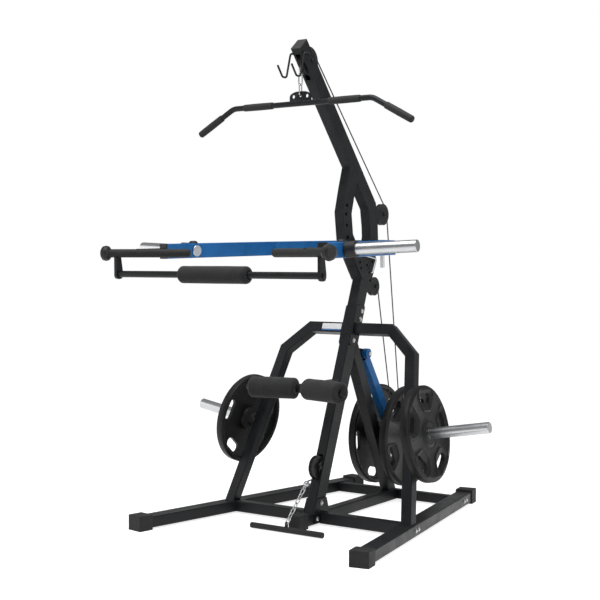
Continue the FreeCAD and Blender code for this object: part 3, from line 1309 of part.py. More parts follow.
def make_row_bar():
    y, z = s.row_y, s.row_z
    bar = rod("row_rod", "row_r", Vector(-s.row_half, y, z), Vector(s.row_half, y, z), 1)
    plate = extrude("row_plate", "YZ_Plane", [(-9, 0), (9, 0), (9, 28), (4, 36), (-4, 36), (-9, 28)], "plate_thick",
                    holes=[((0, 27), "hanger_hole_r")])
    plate.Placement = Placement(Vector(0, y, z), Rotation())
    group("row_bar", [bar, coped("row_eye", plate, "row_r", Vector(0, y, z))])
    base, hole = row_end(), Vector(0, y, z + 27)
    way = (hole - base).normalize()
    base = base + way * (s.wire_r * 0.7)
    ball = eye_end("row_ball", base, way, OUT, [
        (0, 0), (6, 0), (11, 4), (13, 10), (13, 16), (11, 22), (6, 26), (0, 26)], 26)
    start = base + way * (26 + s.ring_r * 2 + s.wire_r - 1)
    group("row_chain", [ball] + chain("row_link", start, hole - way * 1.2, 7, OUT, s.chain_r, s.link_half - 1))


def make_small_parts():
    """Bar hooks on the boom, and the lock rod."""
    hooks = []
    for side, sign in SIDES:
        x = sign * s.hook_x
        path = [Vector(sign * half_square, -148, 2108), Vector(x, -148, 2108), Vector(x, -190, 2108),
                Vector(x, -222, 1998), Vector(x, -252, 1998), Vector(x, -288, 2044)]
        edges = rounded_path(path[:3], s.hook_rod_r * 2).OrderedEdges[:-1]
        rest = rounded_path(path[1:], s.hook_rod_r * 3.5).OrderedEdges
        joint = Part.LineSegment(edges[-1].Vertexes[-1].Point, rest[0].Vertexes[-1].Point).toShape()
        wire = Part.Wire(edges + [joint] + rest[1:])
        section = Part.Wire([Part.makeCircle(s.hook_rod_r, path[0], Vector(sign, 0, 0))])
        made = doc.addObject("Part::Feature", f"boom_hook_{side}")
        made.Shape = wire.makePipeShell([section], True, False)
        hooks.append(made)
    group("boom_hooks", hooks)
    face, x = half_square + s.plate_thick, half_square + s.plate_thick + 14
    pipe("lock_rod", rounded_path([Vector(face - s.plate_thick, 373, 1138), Vector(x, 373, 1138),
                                   Vector(x, 408, 1204), Vector(x, 300, 1220)], s.lock_rod_r * 2), s.lock_rod_r)


MAKERS = (make_base, make_caps, make_front_mast, make_rear_mast, make_strut, make_arch, make_gussets,
          make_storage, make_lever, make_press_arm, make_pivot_pins, make_rollers, make_pulleys,
          make_cables, make_lat_bar, make_row_bar, make_small_parts)
for make in MAKERS:
    make()
for node in nodes:
    node.Placement = Placement(Vector(0, -s.middle_y, 0), Rotation()).multiply(node.Placement)
doc.recompute()

for item in doc.Objects:
    if {"Invalid", "Error"} & set(item.State):
        raise RuntimeError(f"{item.Name} did not rebuild: {item.State}")
os.makedirs("parts", exist_ok=True)
for node in nodes:
    shape = node.Shape
    if shape.isNull() or not shape.isValid() or not shape.Solids:
        raise RuntimeError(f"{node.Label} has no valid solid")
    shape.exportStep(f"parts/{node.Label}.step")
    print(f"{node.Label}: {len(shape.Solids)} solids, {shape.Volume / 1000:.1f} cm3")
print(len(nodes), "nodes")
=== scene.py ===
import json
import math

import bmesh
import bpy
from bpy.props import FloatProperty, FloatVectorProperty, IntProperty, PointerProperty
from mathutils import Matrix, Vector, noise

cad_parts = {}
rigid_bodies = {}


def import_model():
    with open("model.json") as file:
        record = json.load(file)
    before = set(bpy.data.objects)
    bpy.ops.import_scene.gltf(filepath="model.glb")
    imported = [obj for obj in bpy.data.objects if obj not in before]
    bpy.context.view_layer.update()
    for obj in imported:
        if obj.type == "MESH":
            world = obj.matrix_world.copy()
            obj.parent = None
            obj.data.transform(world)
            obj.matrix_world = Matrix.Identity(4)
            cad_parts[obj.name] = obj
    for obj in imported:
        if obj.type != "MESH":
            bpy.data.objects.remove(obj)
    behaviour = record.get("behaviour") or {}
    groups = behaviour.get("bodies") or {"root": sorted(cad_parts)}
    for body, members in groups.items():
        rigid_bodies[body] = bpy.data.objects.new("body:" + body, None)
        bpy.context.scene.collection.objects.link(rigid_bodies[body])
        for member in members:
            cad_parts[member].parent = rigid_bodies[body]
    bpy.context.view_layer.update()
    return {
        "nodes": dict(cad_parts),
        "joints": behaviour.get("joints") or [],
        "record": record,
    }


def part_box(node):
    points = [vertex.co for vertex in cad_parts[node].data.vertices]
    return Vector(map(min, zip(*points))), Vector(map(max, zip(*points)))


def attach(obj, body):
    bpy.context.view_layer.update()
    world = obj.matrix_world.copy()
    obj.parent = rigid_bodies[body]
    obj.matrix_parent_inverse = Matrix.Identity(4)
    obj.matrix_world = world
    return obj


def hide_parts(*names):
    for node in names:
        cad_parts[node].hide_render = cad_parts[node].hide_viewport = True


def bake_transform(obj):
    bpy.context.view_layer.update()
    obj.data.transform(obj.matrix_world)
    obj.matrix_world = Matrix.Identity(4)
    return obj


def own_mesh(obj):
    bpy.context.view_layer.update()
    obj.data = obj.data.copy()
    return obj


bl_info = {
    "name": "Leverage Gym",
    "version": (1, 0, 0),
    "blender": (4, 5, 0),
    "location": "View3D > Sidebar > Leverage Gym",
    "description": "Finishes, cast plates, foam, cables and studio for a plate-loaded leverage gym",
    "category": "Object",
}

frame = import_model()
RECORD = frame["record"]
NODES = frame["nodes"]
MATERIAL_OF = {part["node"]: part["material_slot"] for part in RECORD["subparts"]}
PAINT_OF = {slot["slot"]: slot["base_color"] for slot in RECORD["materials"]}
MOUNTS = {mount["name"]: mount for mount in RECORD["mounts"]}
JOINTS = {joint["name"]: joint for joint in frame["joints"]}
REPAINTED = {"pulley_axles": "black_paint"}    # axle heads painted over with the frame
SIDES = (("left", -1), ("right", 1))
MM = 0.001


# ------------------------------------------------------------------ what a user can change

class GymColours(bpy.types.PropertyGroup):
    """Colours of the finishes."""
    black_paint: FloatVectorProperty(name="Black paint", description="Powder coat of the frame",
                                     subtype="COLOR", default=(0.011, 0.012, 0.0135), min=0, max=1)
    blue_paint: FloatVectorProperty(name="Blue paint", description="Powder coat of the arm and the lever",
                                    subtype="COLOR", default=(0.018, 0.150, 0.420), min=0, max=1)
    black_rubber: FloatVectorProperty(name="Rubber", description="Feet and hand grips",
                                      subtype="COLOR", default=PAINT_OF["black_rubber"], min=0, max=1)
    foam: FloatVectorProperty(name="Foam", description="Skin of the foam rollers",
                              subtype="COLOR", default=PAINT_OF["foam"], min=0, max=1)
    plate_iron: FloatVectorProperty(name="Plate iron", description="Coating of the cast plates",
                                    subtype="COLOR", default=(0.0095, 0.0095, 0.0095), min=0, max=1)
    chrome_steel: FloatVectorProperty(name="Chrome", description="Plate horns, chain and hooks",
                                      subtype="COLOR", default=(0.56, 0.57, 0.58), min=0, max=1)
    zinc_steel: FloatVectorProperty(name="Zinc", description="Pins and bolts",
                                    subtype="COLOR", default=PAINT_OF["zinc_steel"], min=0, max=1)
    black_plastic: FloatVectorProperty(name="Plastic", description="Pulleys, collars and plugs",
                                       subtype="COLOR", default=PAINT_OF["black_plastic"], min=0, max=1)
    cable_coat: FloatVectorProperty(name="Cable coat", description="Coating over the wire rope",
                                    subtype="COLOR", default=PAINT_OF["cable_coat"], min=0, max=1)
    label: FloatVectorProperty(name="Label", description="Blank label on the arch",
                               subtype="COLOR", default=(0.86, 0.87, 0.88), min=0, max=1)
    label_band: FloatVectorProperty(name="Label band", description="Plain band along the label's lower edge",
                                    subtype="COLOR", default=(0.03, 0.16, 0.45), min=0, max=1)


class GymSizes(bpy.types.PropertyGroup):
    """Sizes of the pieces that are modelled here."""
    lip_wide: FloatProperty(name="Window lip width", description="Raised lip round a grip window",
                            default=15 * MM, min=8 * MM, max=18 * MM, subtype="DISTANCE", unit="LENGTH")
    web_sunk: FloatProperty(name="Web depth", description="How far a plate's web lies below its rim",
                            default=3 * MM, min=1 * MM, max=8 * MM, subtype="DISTANCE", unit="LENGTH")
    rim_wide: FloatProperty(name="Rim width", description="Flat ring and bevel at a plate's edge",
                            default=20 * MM, min=15 * MM, max=40 * MM, subtype="DISTANCE", unit="LENGTH")
    foam_round: FloatProperty(name="Foam end radius", description="Rounding of a foam roller's ends",
                              default=15 * MM, min=4 * MM, max=24 * MM, subtype="DISTANCE", unit="LENGTH")
    foam_dent: FloatProperty(name="Foam unevenness", description="How uneven the foam's skin is",
                             default=0.5 * MM, min=0, max=2 * MM, subtype="DISTANCE", unit="LENGTH")
    label_long: FloatProperty(name="Label length", description="Length of the blank label",
                              default=108 * MM, min=40 * MM, max=140 * MM, subtype="DISTANCE", unit="LENGTH")
    label_high: FloatProperty(name="Label height", description="Height of the blank label",
                              default=34 * MM, min=15 * MM, max=44 * MM, subtype="DISTANCE", unit="LENGTH")
    band_high: FloatProperty(name="Band height", description="Height of the plain band on the label",
                             default=6.5 * MM, min=0, max=15 * MM, subtype="DISTANCE", unit="LENGTH")
    sleeve_thick: FloatProperty(name="Sleeve thickness", description="Rubber over the lat bar",
                                default=3.2 * MM, min=1 * MM, max=6 * MM, subtype="DISTANCE", unit="LENGTH")
    bolt_radius: FloatProperty(name="Link bolt radius", description="Radius of the domed bolts on the links",
                               default=8.5 * MM, min=7 * MM, max=12 * MM, subtype="DISTANCE", unit="LENGTH")
    round_steps: IntProperty(name="Steps round", description="Faces round a turned piece",
                             default=120, min=48, max=240)


class GymStudio(bpy.types.PropertyGroup):
    """Camera and light."""
    camera_place: FloatVectorProperty(name="Camera place", description="Where the camera stands",
                                      subtype="TRANSLATION", unit="LENGTH", default=(3.100, -4.689, 1.201))
    camera_turn: FloatProperty(name="Camera turn", description="Turn of the view to the left of +Y",
                               subtype="ANGLE", unit="ROTATION", default=math.radians(34.53))
    camera_dip: FloatProperty(name="Camera dip", description="Angle of the view below level",
                              subtype="ANGLE", unit="ROTATION", default=math.radians(1.796))
    lens: FloatProperty(name="Lens", description="Focal length in millimetres", default=73.96,
                        min=20, max=200)
    key_power: FloatProperty(name="Key light", description="Power of the large lamp above, in watts",
                             default=120, min=0, max=2000)
    side_power: FloatProperty(name="Side light", description="Power of the two side lamps, in watts",
                              default=30, min=0, max=2000)
    sky: FloatProperty(name="Sky", description="Strength of the even light from all round",
                       default=0.3, min=0, max=2)


# ------------------------------------------------------------------ places read from the frame

def points_of(node):
    """Every vertex of a node's mesh."""
    return [vertex.co.copy() for vertex in NODES[node].data.vertices]


def along_axis(node, origin, axis):
    """Where a turned node starts and ends along its axis, and its smallest and largest radius."""
    steps, radii = [], []
    for point in points_of(node):
        arm = point - origin
        step = arm.dot(axis)
        steps.append(step)
        radii.append((arm - axis * step).length)
    return min(steps), max(steps), min(radii), max(radii)


def run_ends(node):
    """Middles of the upper and the lower end of a straight cable run."""
    points = points_of(node)
    high = max(points, key=lambda p: p.z)
    low = min(points, key=lambda p: p.z)
    way = (high - low).normalized()
    ends = []
    for sign in (1, -1):
        far = max(p.dot(way) * sign for p in points)
        rim = [p for p in points if p.dot(way) * sign > far - 1.2 * MM]
        ends.append(sum(rim, Vector()) / len(rim))
    return ends


def axes_along(axis, near):
    """Matrix whose Z runs along an axis and whose Y points near a direction."""
    z = Vector(axis).normalized()
    y = (Vector(near) - z * Vector(near).dot(z)).normalized()
    return Matrix((y.cross(z), y, z)).transposed().to_4x4()


# ------------------------------------------------------------------ mesh helpers

def piece(name, verts, faces, material, smooth=32):
    """A new mesh piece with its material; edges sharper than the angle stay sharp."""
    mesh = bpy.data.meshes.new(name)
    mesh.from_pydata(verts, [], faces)
    mesh.validate()
    made = bpy.data.objects.new(name, mesh)
    bpy.context.scene.collection.objects.link(made)
    tidy_normals(mesh, smooth)
    mesh.materials.append(material)
    return made


def tidy_normals(mesh, smooth):
    """Outward normals, smooth shading and sharp edges past an angle."""
    work = bmesh.new()
    work.from_mesh(mesh)
    bmesh.ops.recalc_face_normals(work, faces=work.faces)
    for face in work.faces:
        face.smooth = True
    for edge in work.edges:
        edge.smooth = len(edge.link_faces) == 2 and edge.calc_face_angle(0) < math.radians(smooth)
    work.to_mesh(mesh)
    work.free()


def lathe(profile, steps, uneven=None):
    """Closed ring solid turned about Z from a closed profile of (radius, height)."""
    count = len(profile)
    verts, faces = [], []
    for i in range(steps):
        turn = 2 * math.pi * i / steps
        for radius, height in profile:
            spot = Vector((radius * math.cos(turn), radius * math.sin(turn), height))
            verts.append(spot + uneven(spot) if uneven else spot)
    for i in range(steps):
        here, there = i * count, (i + 1) % steps * count
        for k in range(count):
            on = (k + 1) % count
            faces.append((here + k, there + k, there + on, here + on))
    return verts, faces


def stadium(reach, radius, steps=18):
    """Outline of a slot: two half circles joined by straight sides, from its middle."""
    outline = []
    for side, start in ((1, -math.pi / 2), (-1, math.pi / 2)):
        for i in range(steps + 1):
            turn = start + math.pi * i / steps
            outline.append((side * reach + radius * math.cos(turn), radius * math.sin(turn)))
    return outline


def stacked(outlines):
    """Closed solid through outlines of equal count, each given as points of one level."""
    count = len(outlines[0])
    verts = [point for outline in outlines for point in outline]
    faces = [tuple(reversed(range(count)))]
    for level in range(len(outlines) - 1):
        base = level * count
        for i in range(count):
            on = (i + 1) % count
            faces.append((base + i, base + on, base + count + on, base + count + i))
    faces.append(tuple(range(len(verts) - count, len(verts))))
    return verts, faces


def joined(solids):
    """One list of points and faces out of several."""
    verts, faces = [], []
    for more_verts, more_faces in solids:
        base = len(verts)
        verts += more_verts
        faces += [tuple(base + i for i in face) for face in more_faces]
    return verts, faces


def moved(solid, place):
    """A solid's points carried to a place."""
    verts, faces = solid
    return [place @ Vector(point) for point in verts], faces


def carve(target, tool, operation):
    """Boolean of two meshes; the tool is used up."""
    cut = target.modifiers.new("carve", "BOOLEAN")
    cut.operation = operation
    cut.object = tool
    cut.solver = "EXACT"
    settle(target)
    bpy.data.objects.remove(tool)


def bake(target, place):
    """Write a piece's place into its mesh, so that its box is a true one."""
    target.data.transform(place)
    target.data.update()


def settle(target):
    """Apply an object's modifiers to its mesh."""
    bpy.context.view_layer.update()
    seen = target.evaluated_get(bpy.context.evaluated_depsgraph_get())
    mesh = bpy.data.meshes.new_from_object(seen)
    target.modifiers.clear()
    old = target.data
    target.data = mesh
    bpy.data.meshes.remove(old)


# ------------------------------------------------------------------ shader groups

def new_group(name, inputs, outputs):
    """An empty shader group with float or colour sockets."""
    tree = bpy.data.node_groups.new(name, "ShaderNodeTree")
    for label, kind, value in inputs:
        socket = tree.interface.new_socket(label, in_out="INPUT", socket_type=kind)
        socket.default_value = value
    for label, kind in outputs:
        tree.interface.new_socket(label, in_out="OUTPUT", socket_type=kind)
    return tree, tree.nodes.new("NodeGroupInput"), tree.nodes.new("NodeGroupOutput")


def node(tree, kind, links=(), settings=(), **values):
    """A node with some sockets set, some linked, and some of its own settings."""
    made = tree.nodes.new(kind)
    for key, value in settings:
        setattr(made, key, value)
    for key, value in values.items():
        made.inputs[key.replace("_", " ")].default_value = value
    for key, source in links:
        tree.links.new(source, made.inputs[key])
    return made


def math_node(tree, operation, first, second, clamp=False):
    """Result of one sum on two sockets or plain numbers."""
    made = tree.nodes.new("ShaderNodeMath")
    made.operation = operation
    made.use_clamp = clamp
    for socket, value in zip(made.inputs, (first, second)):
        if isinstance(value, (int, float)):
            socket.default_value = value
        else:
            tree.links.new(value, socket)
    return made.outputs[0]


def object_place(tree):
    """Texture place that stays with the piece."""
    return tree.nodes.new("ShaderNodeTexCoord").outputs["Object"]


def grain_group():
    """Fine grain with slow, cloudy change: height for bump, and masks for colour and gloss."""
    tree, source, sink = new_group("Grain", [
        ("Scale", "NodeSocketFloat", 900.0), ("Cloud Scale", "NodeSocketFloat", 9.0),
        ("Pits", "NodeSocketFloat", 0.3)],
        [("Height", "NodeSocketFloat"), ("Cloud", "NodeSocketFloat"), ("Speck", "NodeSocketFloat")])
    place = object_place(tree)
    fine = node(tree, "ShaderNodeTexNoise", [("Vector", place), ("Scale", source.outputs["Scale"])],
                Detail=3.0, Roughness=0.55)
    pits = node(tree, "ShaderNodeTexVoronoi", [("Vector", place), ("Scale", source.outputs["Scale"])],
                Randomness=1.0)
    cloud = node(tree, "ShaderNodeTexNoise", [("Vector", place), ("Scale", source.outputs["Cloud Scale"])],
                 Detail=4.0, Roughness=0.6, Distortion=0.4)
    dent = math_node(tree, "MULTIPLY", pits.outputs["Distance"], source.outputs["Pits"])
    height = math_node(tree, "ADD", fine.outputs["Fac"], dent)
    speck = node(tree, "ShaderNodeMapRange", [("Value", fine.outputs["Fac"])], From_Min=0.4, From_Max=0.7)
    slow = node(tree, "ShaderNodeMapRange", [("Value", cloud.outputs["Fac"])], From_Min=0.35, From_Max=0.68)
    tree.links.new(height, sink.inputs["Height"])
    tree.links.new(slow.outputs["Result"], sink.inputs["Cloud"])
    tree.links.new(speck.outputs["Result"], sink.inputs["Speck"])
    return tree


def edge_group():
    """Mask of the outer edges, broken up by noise, where a finish is rubbed lighter."""
    tree, source, sink = new_group("Edge Rub", [
        ("Amount", "NodeSocketFloat", 0.5), ("Patchiness", "NodeSocketFloat", 30.0)],
        [("Mask", "NodeSocketFloat")])
    surface = tree.nodes.new("ShaderNodeNewGeometry")
    rounded = node(tree, "ShaderNodeBevel", settings=[("samples", 4)], Radius=0.0018)
    facing = tree.nodes.new("ShaderNodeVectorMath")
    facing.operation = "DOT_PRODUCT"
    tree.links.new(surface.outputs["Normal"], facing.inputs[0])
    tree.links.new(rounded.outputs["Normal"], facing.inputs[1])
    turned_away = math_node(tree, "SUBTRACT", 1.0, facing.outputs["Value"])
    edge = node(tree, "ShaderNodeMapRange", [("Value", turned_away)], From_Min=0.01, From_Max=0.16)
    patch = node(tree, "ShaderNodeTexNoise", [("Vector", object_place(tree)),
                                              ("Scale", source.outputs["Patchiness"])], Detail=5.0)
    broken = node(tree, "ShaderNodeMapRange", [("Value", patch.outputs["Fac"])], From_Min=0.38, From_Max=0.62)
    mask = math_node(tree, "MULTIPLY", edge.outputs["Result"], broken.outputs["Result"])
    mask = math_node(tree, "MULTIPLY", mask, source.outputs["Amount"], clamp=True)
    tree.links.new(mask, sink.inputs["Mask"])
    return tree


def dust_group():
    """Thin dust that settles on faces that look up."""
    tree, source, sink = new_group("Dust", [("Amount", "NodeSocketFloat", 0.2)],
                                   [("Mask", "NodeSocketFloat")])
    surface = tree.nodes.new("ShaderNodeNewGeometry")
    split = tree.nodes.new("ShaderNodeSeparateXYZ")
    tree.links.new(surface.outputs["Normal"], split.inputs[0])
    up = node(tree, "ShaderNodeMapRange", [("Value", split.outputs["Z"])], From_Min=0.35, From_Max=1.0)
    drift = node(tree, "ShaderNodeTexNoise", [("Vector", object_place(tree))], Scale=22.0, Detail=6.0)
    mask = math_node(tree, "MULTIPLY", up.outputs["Result"], drift.outputs["Fac"])
    mask = math_node(tree, "MULTIPLY", mask, source.outputs["Amount"], clamp=True)
    tree.links.new(mask, sink.inputs["Mask"])
    return tree


def brush_group():
    """Fine lines round a turned bar, as from polishing."""
    tree, source, sink = new_group("Polish Lines", [("Scale", "NodeSocketFloat", 400.0)],
                                   [("Lines", "NodeSocketFloat"), ("Smudge", "NodeSocketFloat")])
    stretch = tree.nodes.new("ShaderNodeVectorMath")
    stretch.operation = "MULTIPLY"
    stretch.inputs[1].default_value = (1.0, 0.06, 0.06)
    tree.links.new(object_place(tree), stretch.inputs[0])
    lines = node(tree, "ShaderNodeTexNoise", [("Vector", stretch.outputs["Vector"]),
                                              ("Scale", source.outputs["Scale"])], Detail=3.0)
    smudge = node(tree, "ShaderNodeTexNoise", [("Vector", object_place(tree))], Scale=18.0, Detail=4.0)
    tree.links.new(lines.outputs["Fac"], sink.inputs["Lines"])
    tree.links.new(smudge.outputs["Fac"], sink.inputs["Smudge"])
    return tree


GROUP_MAKERS = {"Grain": grain_group, "Edge Rub": edge_group, "Dust": dust_group, "Polish Lines": brush_group}


def use_group(tree, name, **values):
    """Place a shader group in a material, building it the first time."""
    group = bpy.data.node_groups.get(name) or GROUP_MAKERS[name]()
    made = tree.nodes.new("ShaderNodeGroup")
    made.node_tree = group
    for key, value in values.items():
        made.inputs[key.replace("_", " ")].default_value = value
    return made


# ------------------------------------------------------------------ finishes

def bare_tree(owner):
    """Node tree of a material or world, with nothing in it."""
    owner.use_nodes = True
    owner.node_tree.nodes.clear()
    return owner.node_tree


def blank_material(name):
    """A material with a Principled shader and its output."""
    made = bpy.data.materials.new(name)
    tree = bare_tree(made)
    shader = tree.nodes.new("ShaderNodeBsdfPrincipled")
    sink = tree.nodes.new("ShaderNodeOutputMaterial")
    tree.links.new(shader.outputs["BSDF"], sink.inputs["Surface"])
    return made, tree, shader


def mix_colour(tree, mask, first, second):
    """Mix of two colours, each a socket or a plain colour, by a mask."""
    made = tree.nodes.new("ShaderNodeMix")
    made.data_type = "RGBA"
    tree.links.new(mask, made.inputs["Factor"])
    for socket, value in ((made.inputs["A"], first), (made.inputs["B"], second)):
        if isinstance(value, bpy.types.NodeSocket):
            tree.links.new(value, socket)
        else:
            socket.default_value = (*value, 1.0)
    return made.outputs["Result"]


def spread(tree, mask, low, high):
    """A value that a mask moves between two ends."""
    made = node(tree, "ShaderNodeMapRange", [("Value", mask)], To_Min=low, To_Max=high)
    return made.outputs["Result"]


def bump(tree, shader, height, strength, distance):
    """Fine relief from a height value."""
    made = node(tree, "ShaderNodeBump", [("Height", height)], Strength=strength, Distance=distance)
    tree.links.new(made.outputs["Normal"], shader.inputs["Normal"])


def roughen(tree, shader, mask, low, high):
    """Roughness that a mask moves between two ends."""
    tree.links.new(spread(tree, mask, low, high), shader.inputs["Roughness"])


def lighter(colour, factor, lift=0.0):
    """A colour scaled and lifted, never above white."""
    return tuple(min(1.0, part * factor + lift) for part in colour)


DUST_COLOUR = (0.22, 0.22, 0.22)


def coated(name, colour, gloss, grain, strength, rub=0.4, dust=0.12, pits=0.3, cloud=9.0, shift=1.25):
    """A coated or moulded surface: grain, cloudy tone, rubbed edges and a little dust."""
    made, tree, shader = blank_material(name)
    texture = use_group(tree, "Grain", Scale=grain, Cloud_Scale=cloud, Pits=pits)
    edges = use_group(tree, "Edge Rub", Amount=rub)
    settled = use_group(tree, "Dust", Amount=dust)
    specks = math_node(tree, "MULTIPLY", texture.outputs["Speck"], 0.15)
    tone = mix_colour(tree, texture.outputs["Cloud"], lighter(colour, 1 / shift), lighter(colour, shift))
    tone = mix_colour(tree, specks, tone, lighter(colour, 1.7, 0.004))
    tone = mix_colour(tree, edges.outputs["Mask"], tone, lighter(colour, 2.4, 0.02))
    tone = mix_colour(tree, settled.outputs["Mask"], tone, DUST_COLOUR)
    tree.links.new(tone, shader.inputs["Base Color"])
    roughen(tree, shader, texture.outputs["Cloud"], gloss - 0.07, gloss + 0.08)
    shader.inputs["Specular IOR Level"].default_value = 0.22
    bump(tree, shader, texture.outputs["Height"], strength, 0.0003)
    return made, shader


def plated(name, colour, gloss):
    """Bright plated steel with polishing lines and faint smudges."""
    made, tree, shader = blank_material(name)
    lines = use_group(tree, "Polish Lines", Scale=420.0)
    edges = use_group(tree, "Edge Rub", Amount=0.35)
    tone = mix_colour(tree, lines.outputs["Smudge"], lighter(colour, 0.82), lighter(colour, 1.08))
    tone = mix_colour(tree, edges.outputs["Mask"], tone, lighter(colour, 0.6))
    tree.links.new(tone, shader.inputs["Base Color"])
    shader.inputs["Metallic"].default_value = 1.0
    roughen(tree, shader, lines.outputs["Smudge"], gloss - 0.06, gloss + 0.1)
    bump(tree, shader, lines.outputs["Lines"], 0.05, 0.0002)
    return made


def foam_finish(colour):
    """Closed-cell foam: a dull skin with fine pores and a soft sheen."""
    made, shader = coated("foam_skin", colour, 0.84, 620.0, 0.65, rub=0.25, dust=0.1, pits=0.9,
                          cloud=16.0, shift=1.3)
    shader.inputs["Sheen Weight"].default_value = 0.12
    shader.inputs["Sheen Roughness"].default_value = 0.5
    return made


def label_finish(colours, sizes):
    """Printed vinyl: a pale sheet with one plain band along its lower edge."""
    made, tree, shader = blank_material("blank_label")
    paper = tuple(colours.label)
    split = tree.nodes.new("ShaderNodeSeparateXYZ")
    tree.links.new(object_place(tree), split.inputs[0])
    band = math_node(tree, "LESS_THAN", split.outputs["Y"], sizes.band_high - sizes.label_high / 2)
    texture = use_group(tree, "Grain", Scale=1500.0, Cloud_Scale=40.0)
    tone = mix_colour(tree, texture.outputs["Cloud"], lighter(paper, 0.95), lighter(paper, 1.04))
    tone = mix_colour(tree, band, tone, tuple(colours.label_band))
    tree.links.new(tone, shader.inputs["Base Color"])
    roughen(tree, shader, texture.outputs["Speck"], 0.3, 0.42)
    bump(tree, shader, texture.outputs["Height"], 0.05, 0.0002)
    return made


def cable_finish(colour):
    """Smooth coat that shows the lay of the wire rope below it."""
    made, tree, shader = blank_material("cable_sheath")
    texture = use_group(tree, "Grain", Scale=1400.0, Cloud_Scale=30.0)
    lay = node(tree, "ShaderNodeTexWave", [("Vector", object_place(tree))],
               settings=[("bands_direction", "DIAGONAL")], Scale=190.0, Distortion=0.6, Detail=1.0)
    tone = mix_colour(tree, texture.outputs["Cloud"], colour, lighter(colour, 1.9))
    tree.links.new(tone, shader.inputs["Base Color"])
    roughen(tree, shader, texture.outputs["Cloud"], 0.24, 0.38)
    bump(tree, shader, lay.outputs["Fac"], 0.35, 0.0005)
    return made


# Name, gloss, grain scale, relief and what differs from the plain coat, for each coated slot.
COATS = {
    "black_paint": ("frame_powder_coat", 0.38, 950.0, 0.16, {"rub": 0.45, "dust": 0.1}),
    "blue_paint": ("blue_powder_coat", 0.32, 950.0, 0.14, {"rub": 0.3, "dust": 0.05, "shift": 1.15}),
    "black_rubber": ("grip_rubber", 0.62, 700.0, 0.35, {"rub": 0.35, "pits": 0.5, "cloud": 14.0}),
    "plate_iron": ("cast_plate_coat", 0.42, 420.0, 0.3,
                   {"rub": 0.55, "dust": 0.14, "pits": 0.6, "cloud": 12.0}),
    "black_plastic": ("moulded_plastic", 0.4, 1100.0, 0.12, {"rub": 0.3, "dust": 0.1, "cloud": 20.0}),
}
PLATINGS = {"chrome_steel": ("polished_chrome", 0.3), "zinc_steel": ("zinc_plating", 0.36)}


def make_finish(slot):
    """The material of one of the record's slots."""
    colour = tuple(getattr(bpy.context.scene.gym_colours, slot))
    if slot in COATS:
        name, gloss, grain, relief, changes = COATS[slot]
        return coated(name, colour, gloss, grain, relief, **changes)[0]
    if slot in PLATINGS:
        name, gloss = PLATINGS[slot]
        return plated(name, colour, gloss)
    return foam_finish(colour) if slot == "foam" else cable_finish(colour)


def finish_of(slot):
    """A slot's material, made once."""
    key = "gym_finish_" + slot
    name = bpy.context.scene.get(key)
    if name is None:
        made = make_finish(slot)
        bpy.context.scene[key] = made.name
        return made
    return bpy.data.materials[name]


# ------------------------------------------------------------------ the pieces

class GYM_OT_finishes(bpy.types.Operator):
    """Give every piece of the frame its finish"""
    bl_idname = "gym.finishes"
    bl_label = "Finishes"

    def execute(self, context):
        for name, shape in NODES.items():
            shape.data.materials.clear()
            shape.data.materials.append(finish_of(REPAINTED.get(name, MATERIAL_OF[name])))
        return {"FINISHED"}


HUB_WALL = 26 * MM          # from the bore to the outside of a plate's hub
FACE_DROP = 3 * MM          # how far a plate's face lies below its hub
BACK_DISH = 14 * MM         # depth of the dished back
BEAD_PLACE = 16 * MM        # from the hub to the raised bead round it
WINDOW_WIDE, WINDOW_LONG, WINDOWS = 44 * MM, 100 * MM, 5
# How much a flared outline grows sideways, towards the rim on its wide side, outwards and inwards.
FLARE_WIDE, FLARE_TAPER, FLARE_OUT, FLARE_IN = 0.12, 0.3, 0.15, 0.75


def plate_profile(radius, half, bore, sizes):
    """Section of a cast plate: hub, sunk web with a bead, rim with bevel, dished back."""
    hub, rim = bore + HUB_WALL, sizes.rim_wide
    face = half - FACE_DROP
    web = face - sizes.web_sunk
    dish = half - BACK_DISH
    bead = hub + BEAD_PLACE
    return [
        (bore, half - 2 * MM), (bore + 2 * MM, half), (hub - 9 * MM, half), (hub - 8 * MM, half - 1 * MM),
        (hub - 6 * MM, half - 1 * MM), (hub - 5 * MM, half), (hub - 1.5 * MM, half - 0.4 * MM),
        (hub, half - 1.8 * MM), (hub + 5 * MM, web + 0.8 * MM), (hub + 9 * MM, web),
        (bead - 2.5 * MM, web), (bead - 1 * MM, web + 1.6 * MM), (bead + 1 * MM, web + 1.6 * MM),
        (bead + 2.5 * MM, web), (radius - rim - 10 * MM, web), (radius - rim - 5 * MM, face - 0.6 * MM),
        (radius - rim - 2.5 * MM, face), (radius - rim + 1 * MM, face),
        (radius - rim + 3 * MM, face - 0.7 * MM), (radius - 4 * MM, half - 6 * MM),
        (radius - 1.2 * MM, half - 7.5 * MM), (radius, half - 10 * MM), (radius, 3.5 * MM - half),
        (radius - 1 * MM, 1 * MM - half), (radius - 3.5 * MM, -half), (radius - rim + 2 * MM, -half),
        (radius - rim, 1 * MM - half), (radius - rim - 5 * MM, -dish), (hub + 6 * MM, -dish),
        (hub + 1 * MM, 1.5 * MM - half), (hub - 1 * MM, -half), (bore + 2 * MM, -half),
        (bore, 2 * MM - half)]


def window_solid(reach, levels, at):
    """Solid at a distance from the plate's middle, through levels of (radius, height, how flared).

    A level that isn't flared is a plain slot; a flared one is wide by the rim and narrow by the hub.
    """
    outlines = []
    for radius, height, flare in levels:
        outline = []
        for x, y in stadium(reach, radius):
            across = x * (1 + flare * (FLARE_WIDE + FLARE_TAPER * y / radius))
            along = y * (1 + flare * (FLARE_OUT if y > 0 else FLARE_IN))
            outline.append(Vector((across, along + at, height)))
        outlines.append(outline)
    return stacked(outlines)


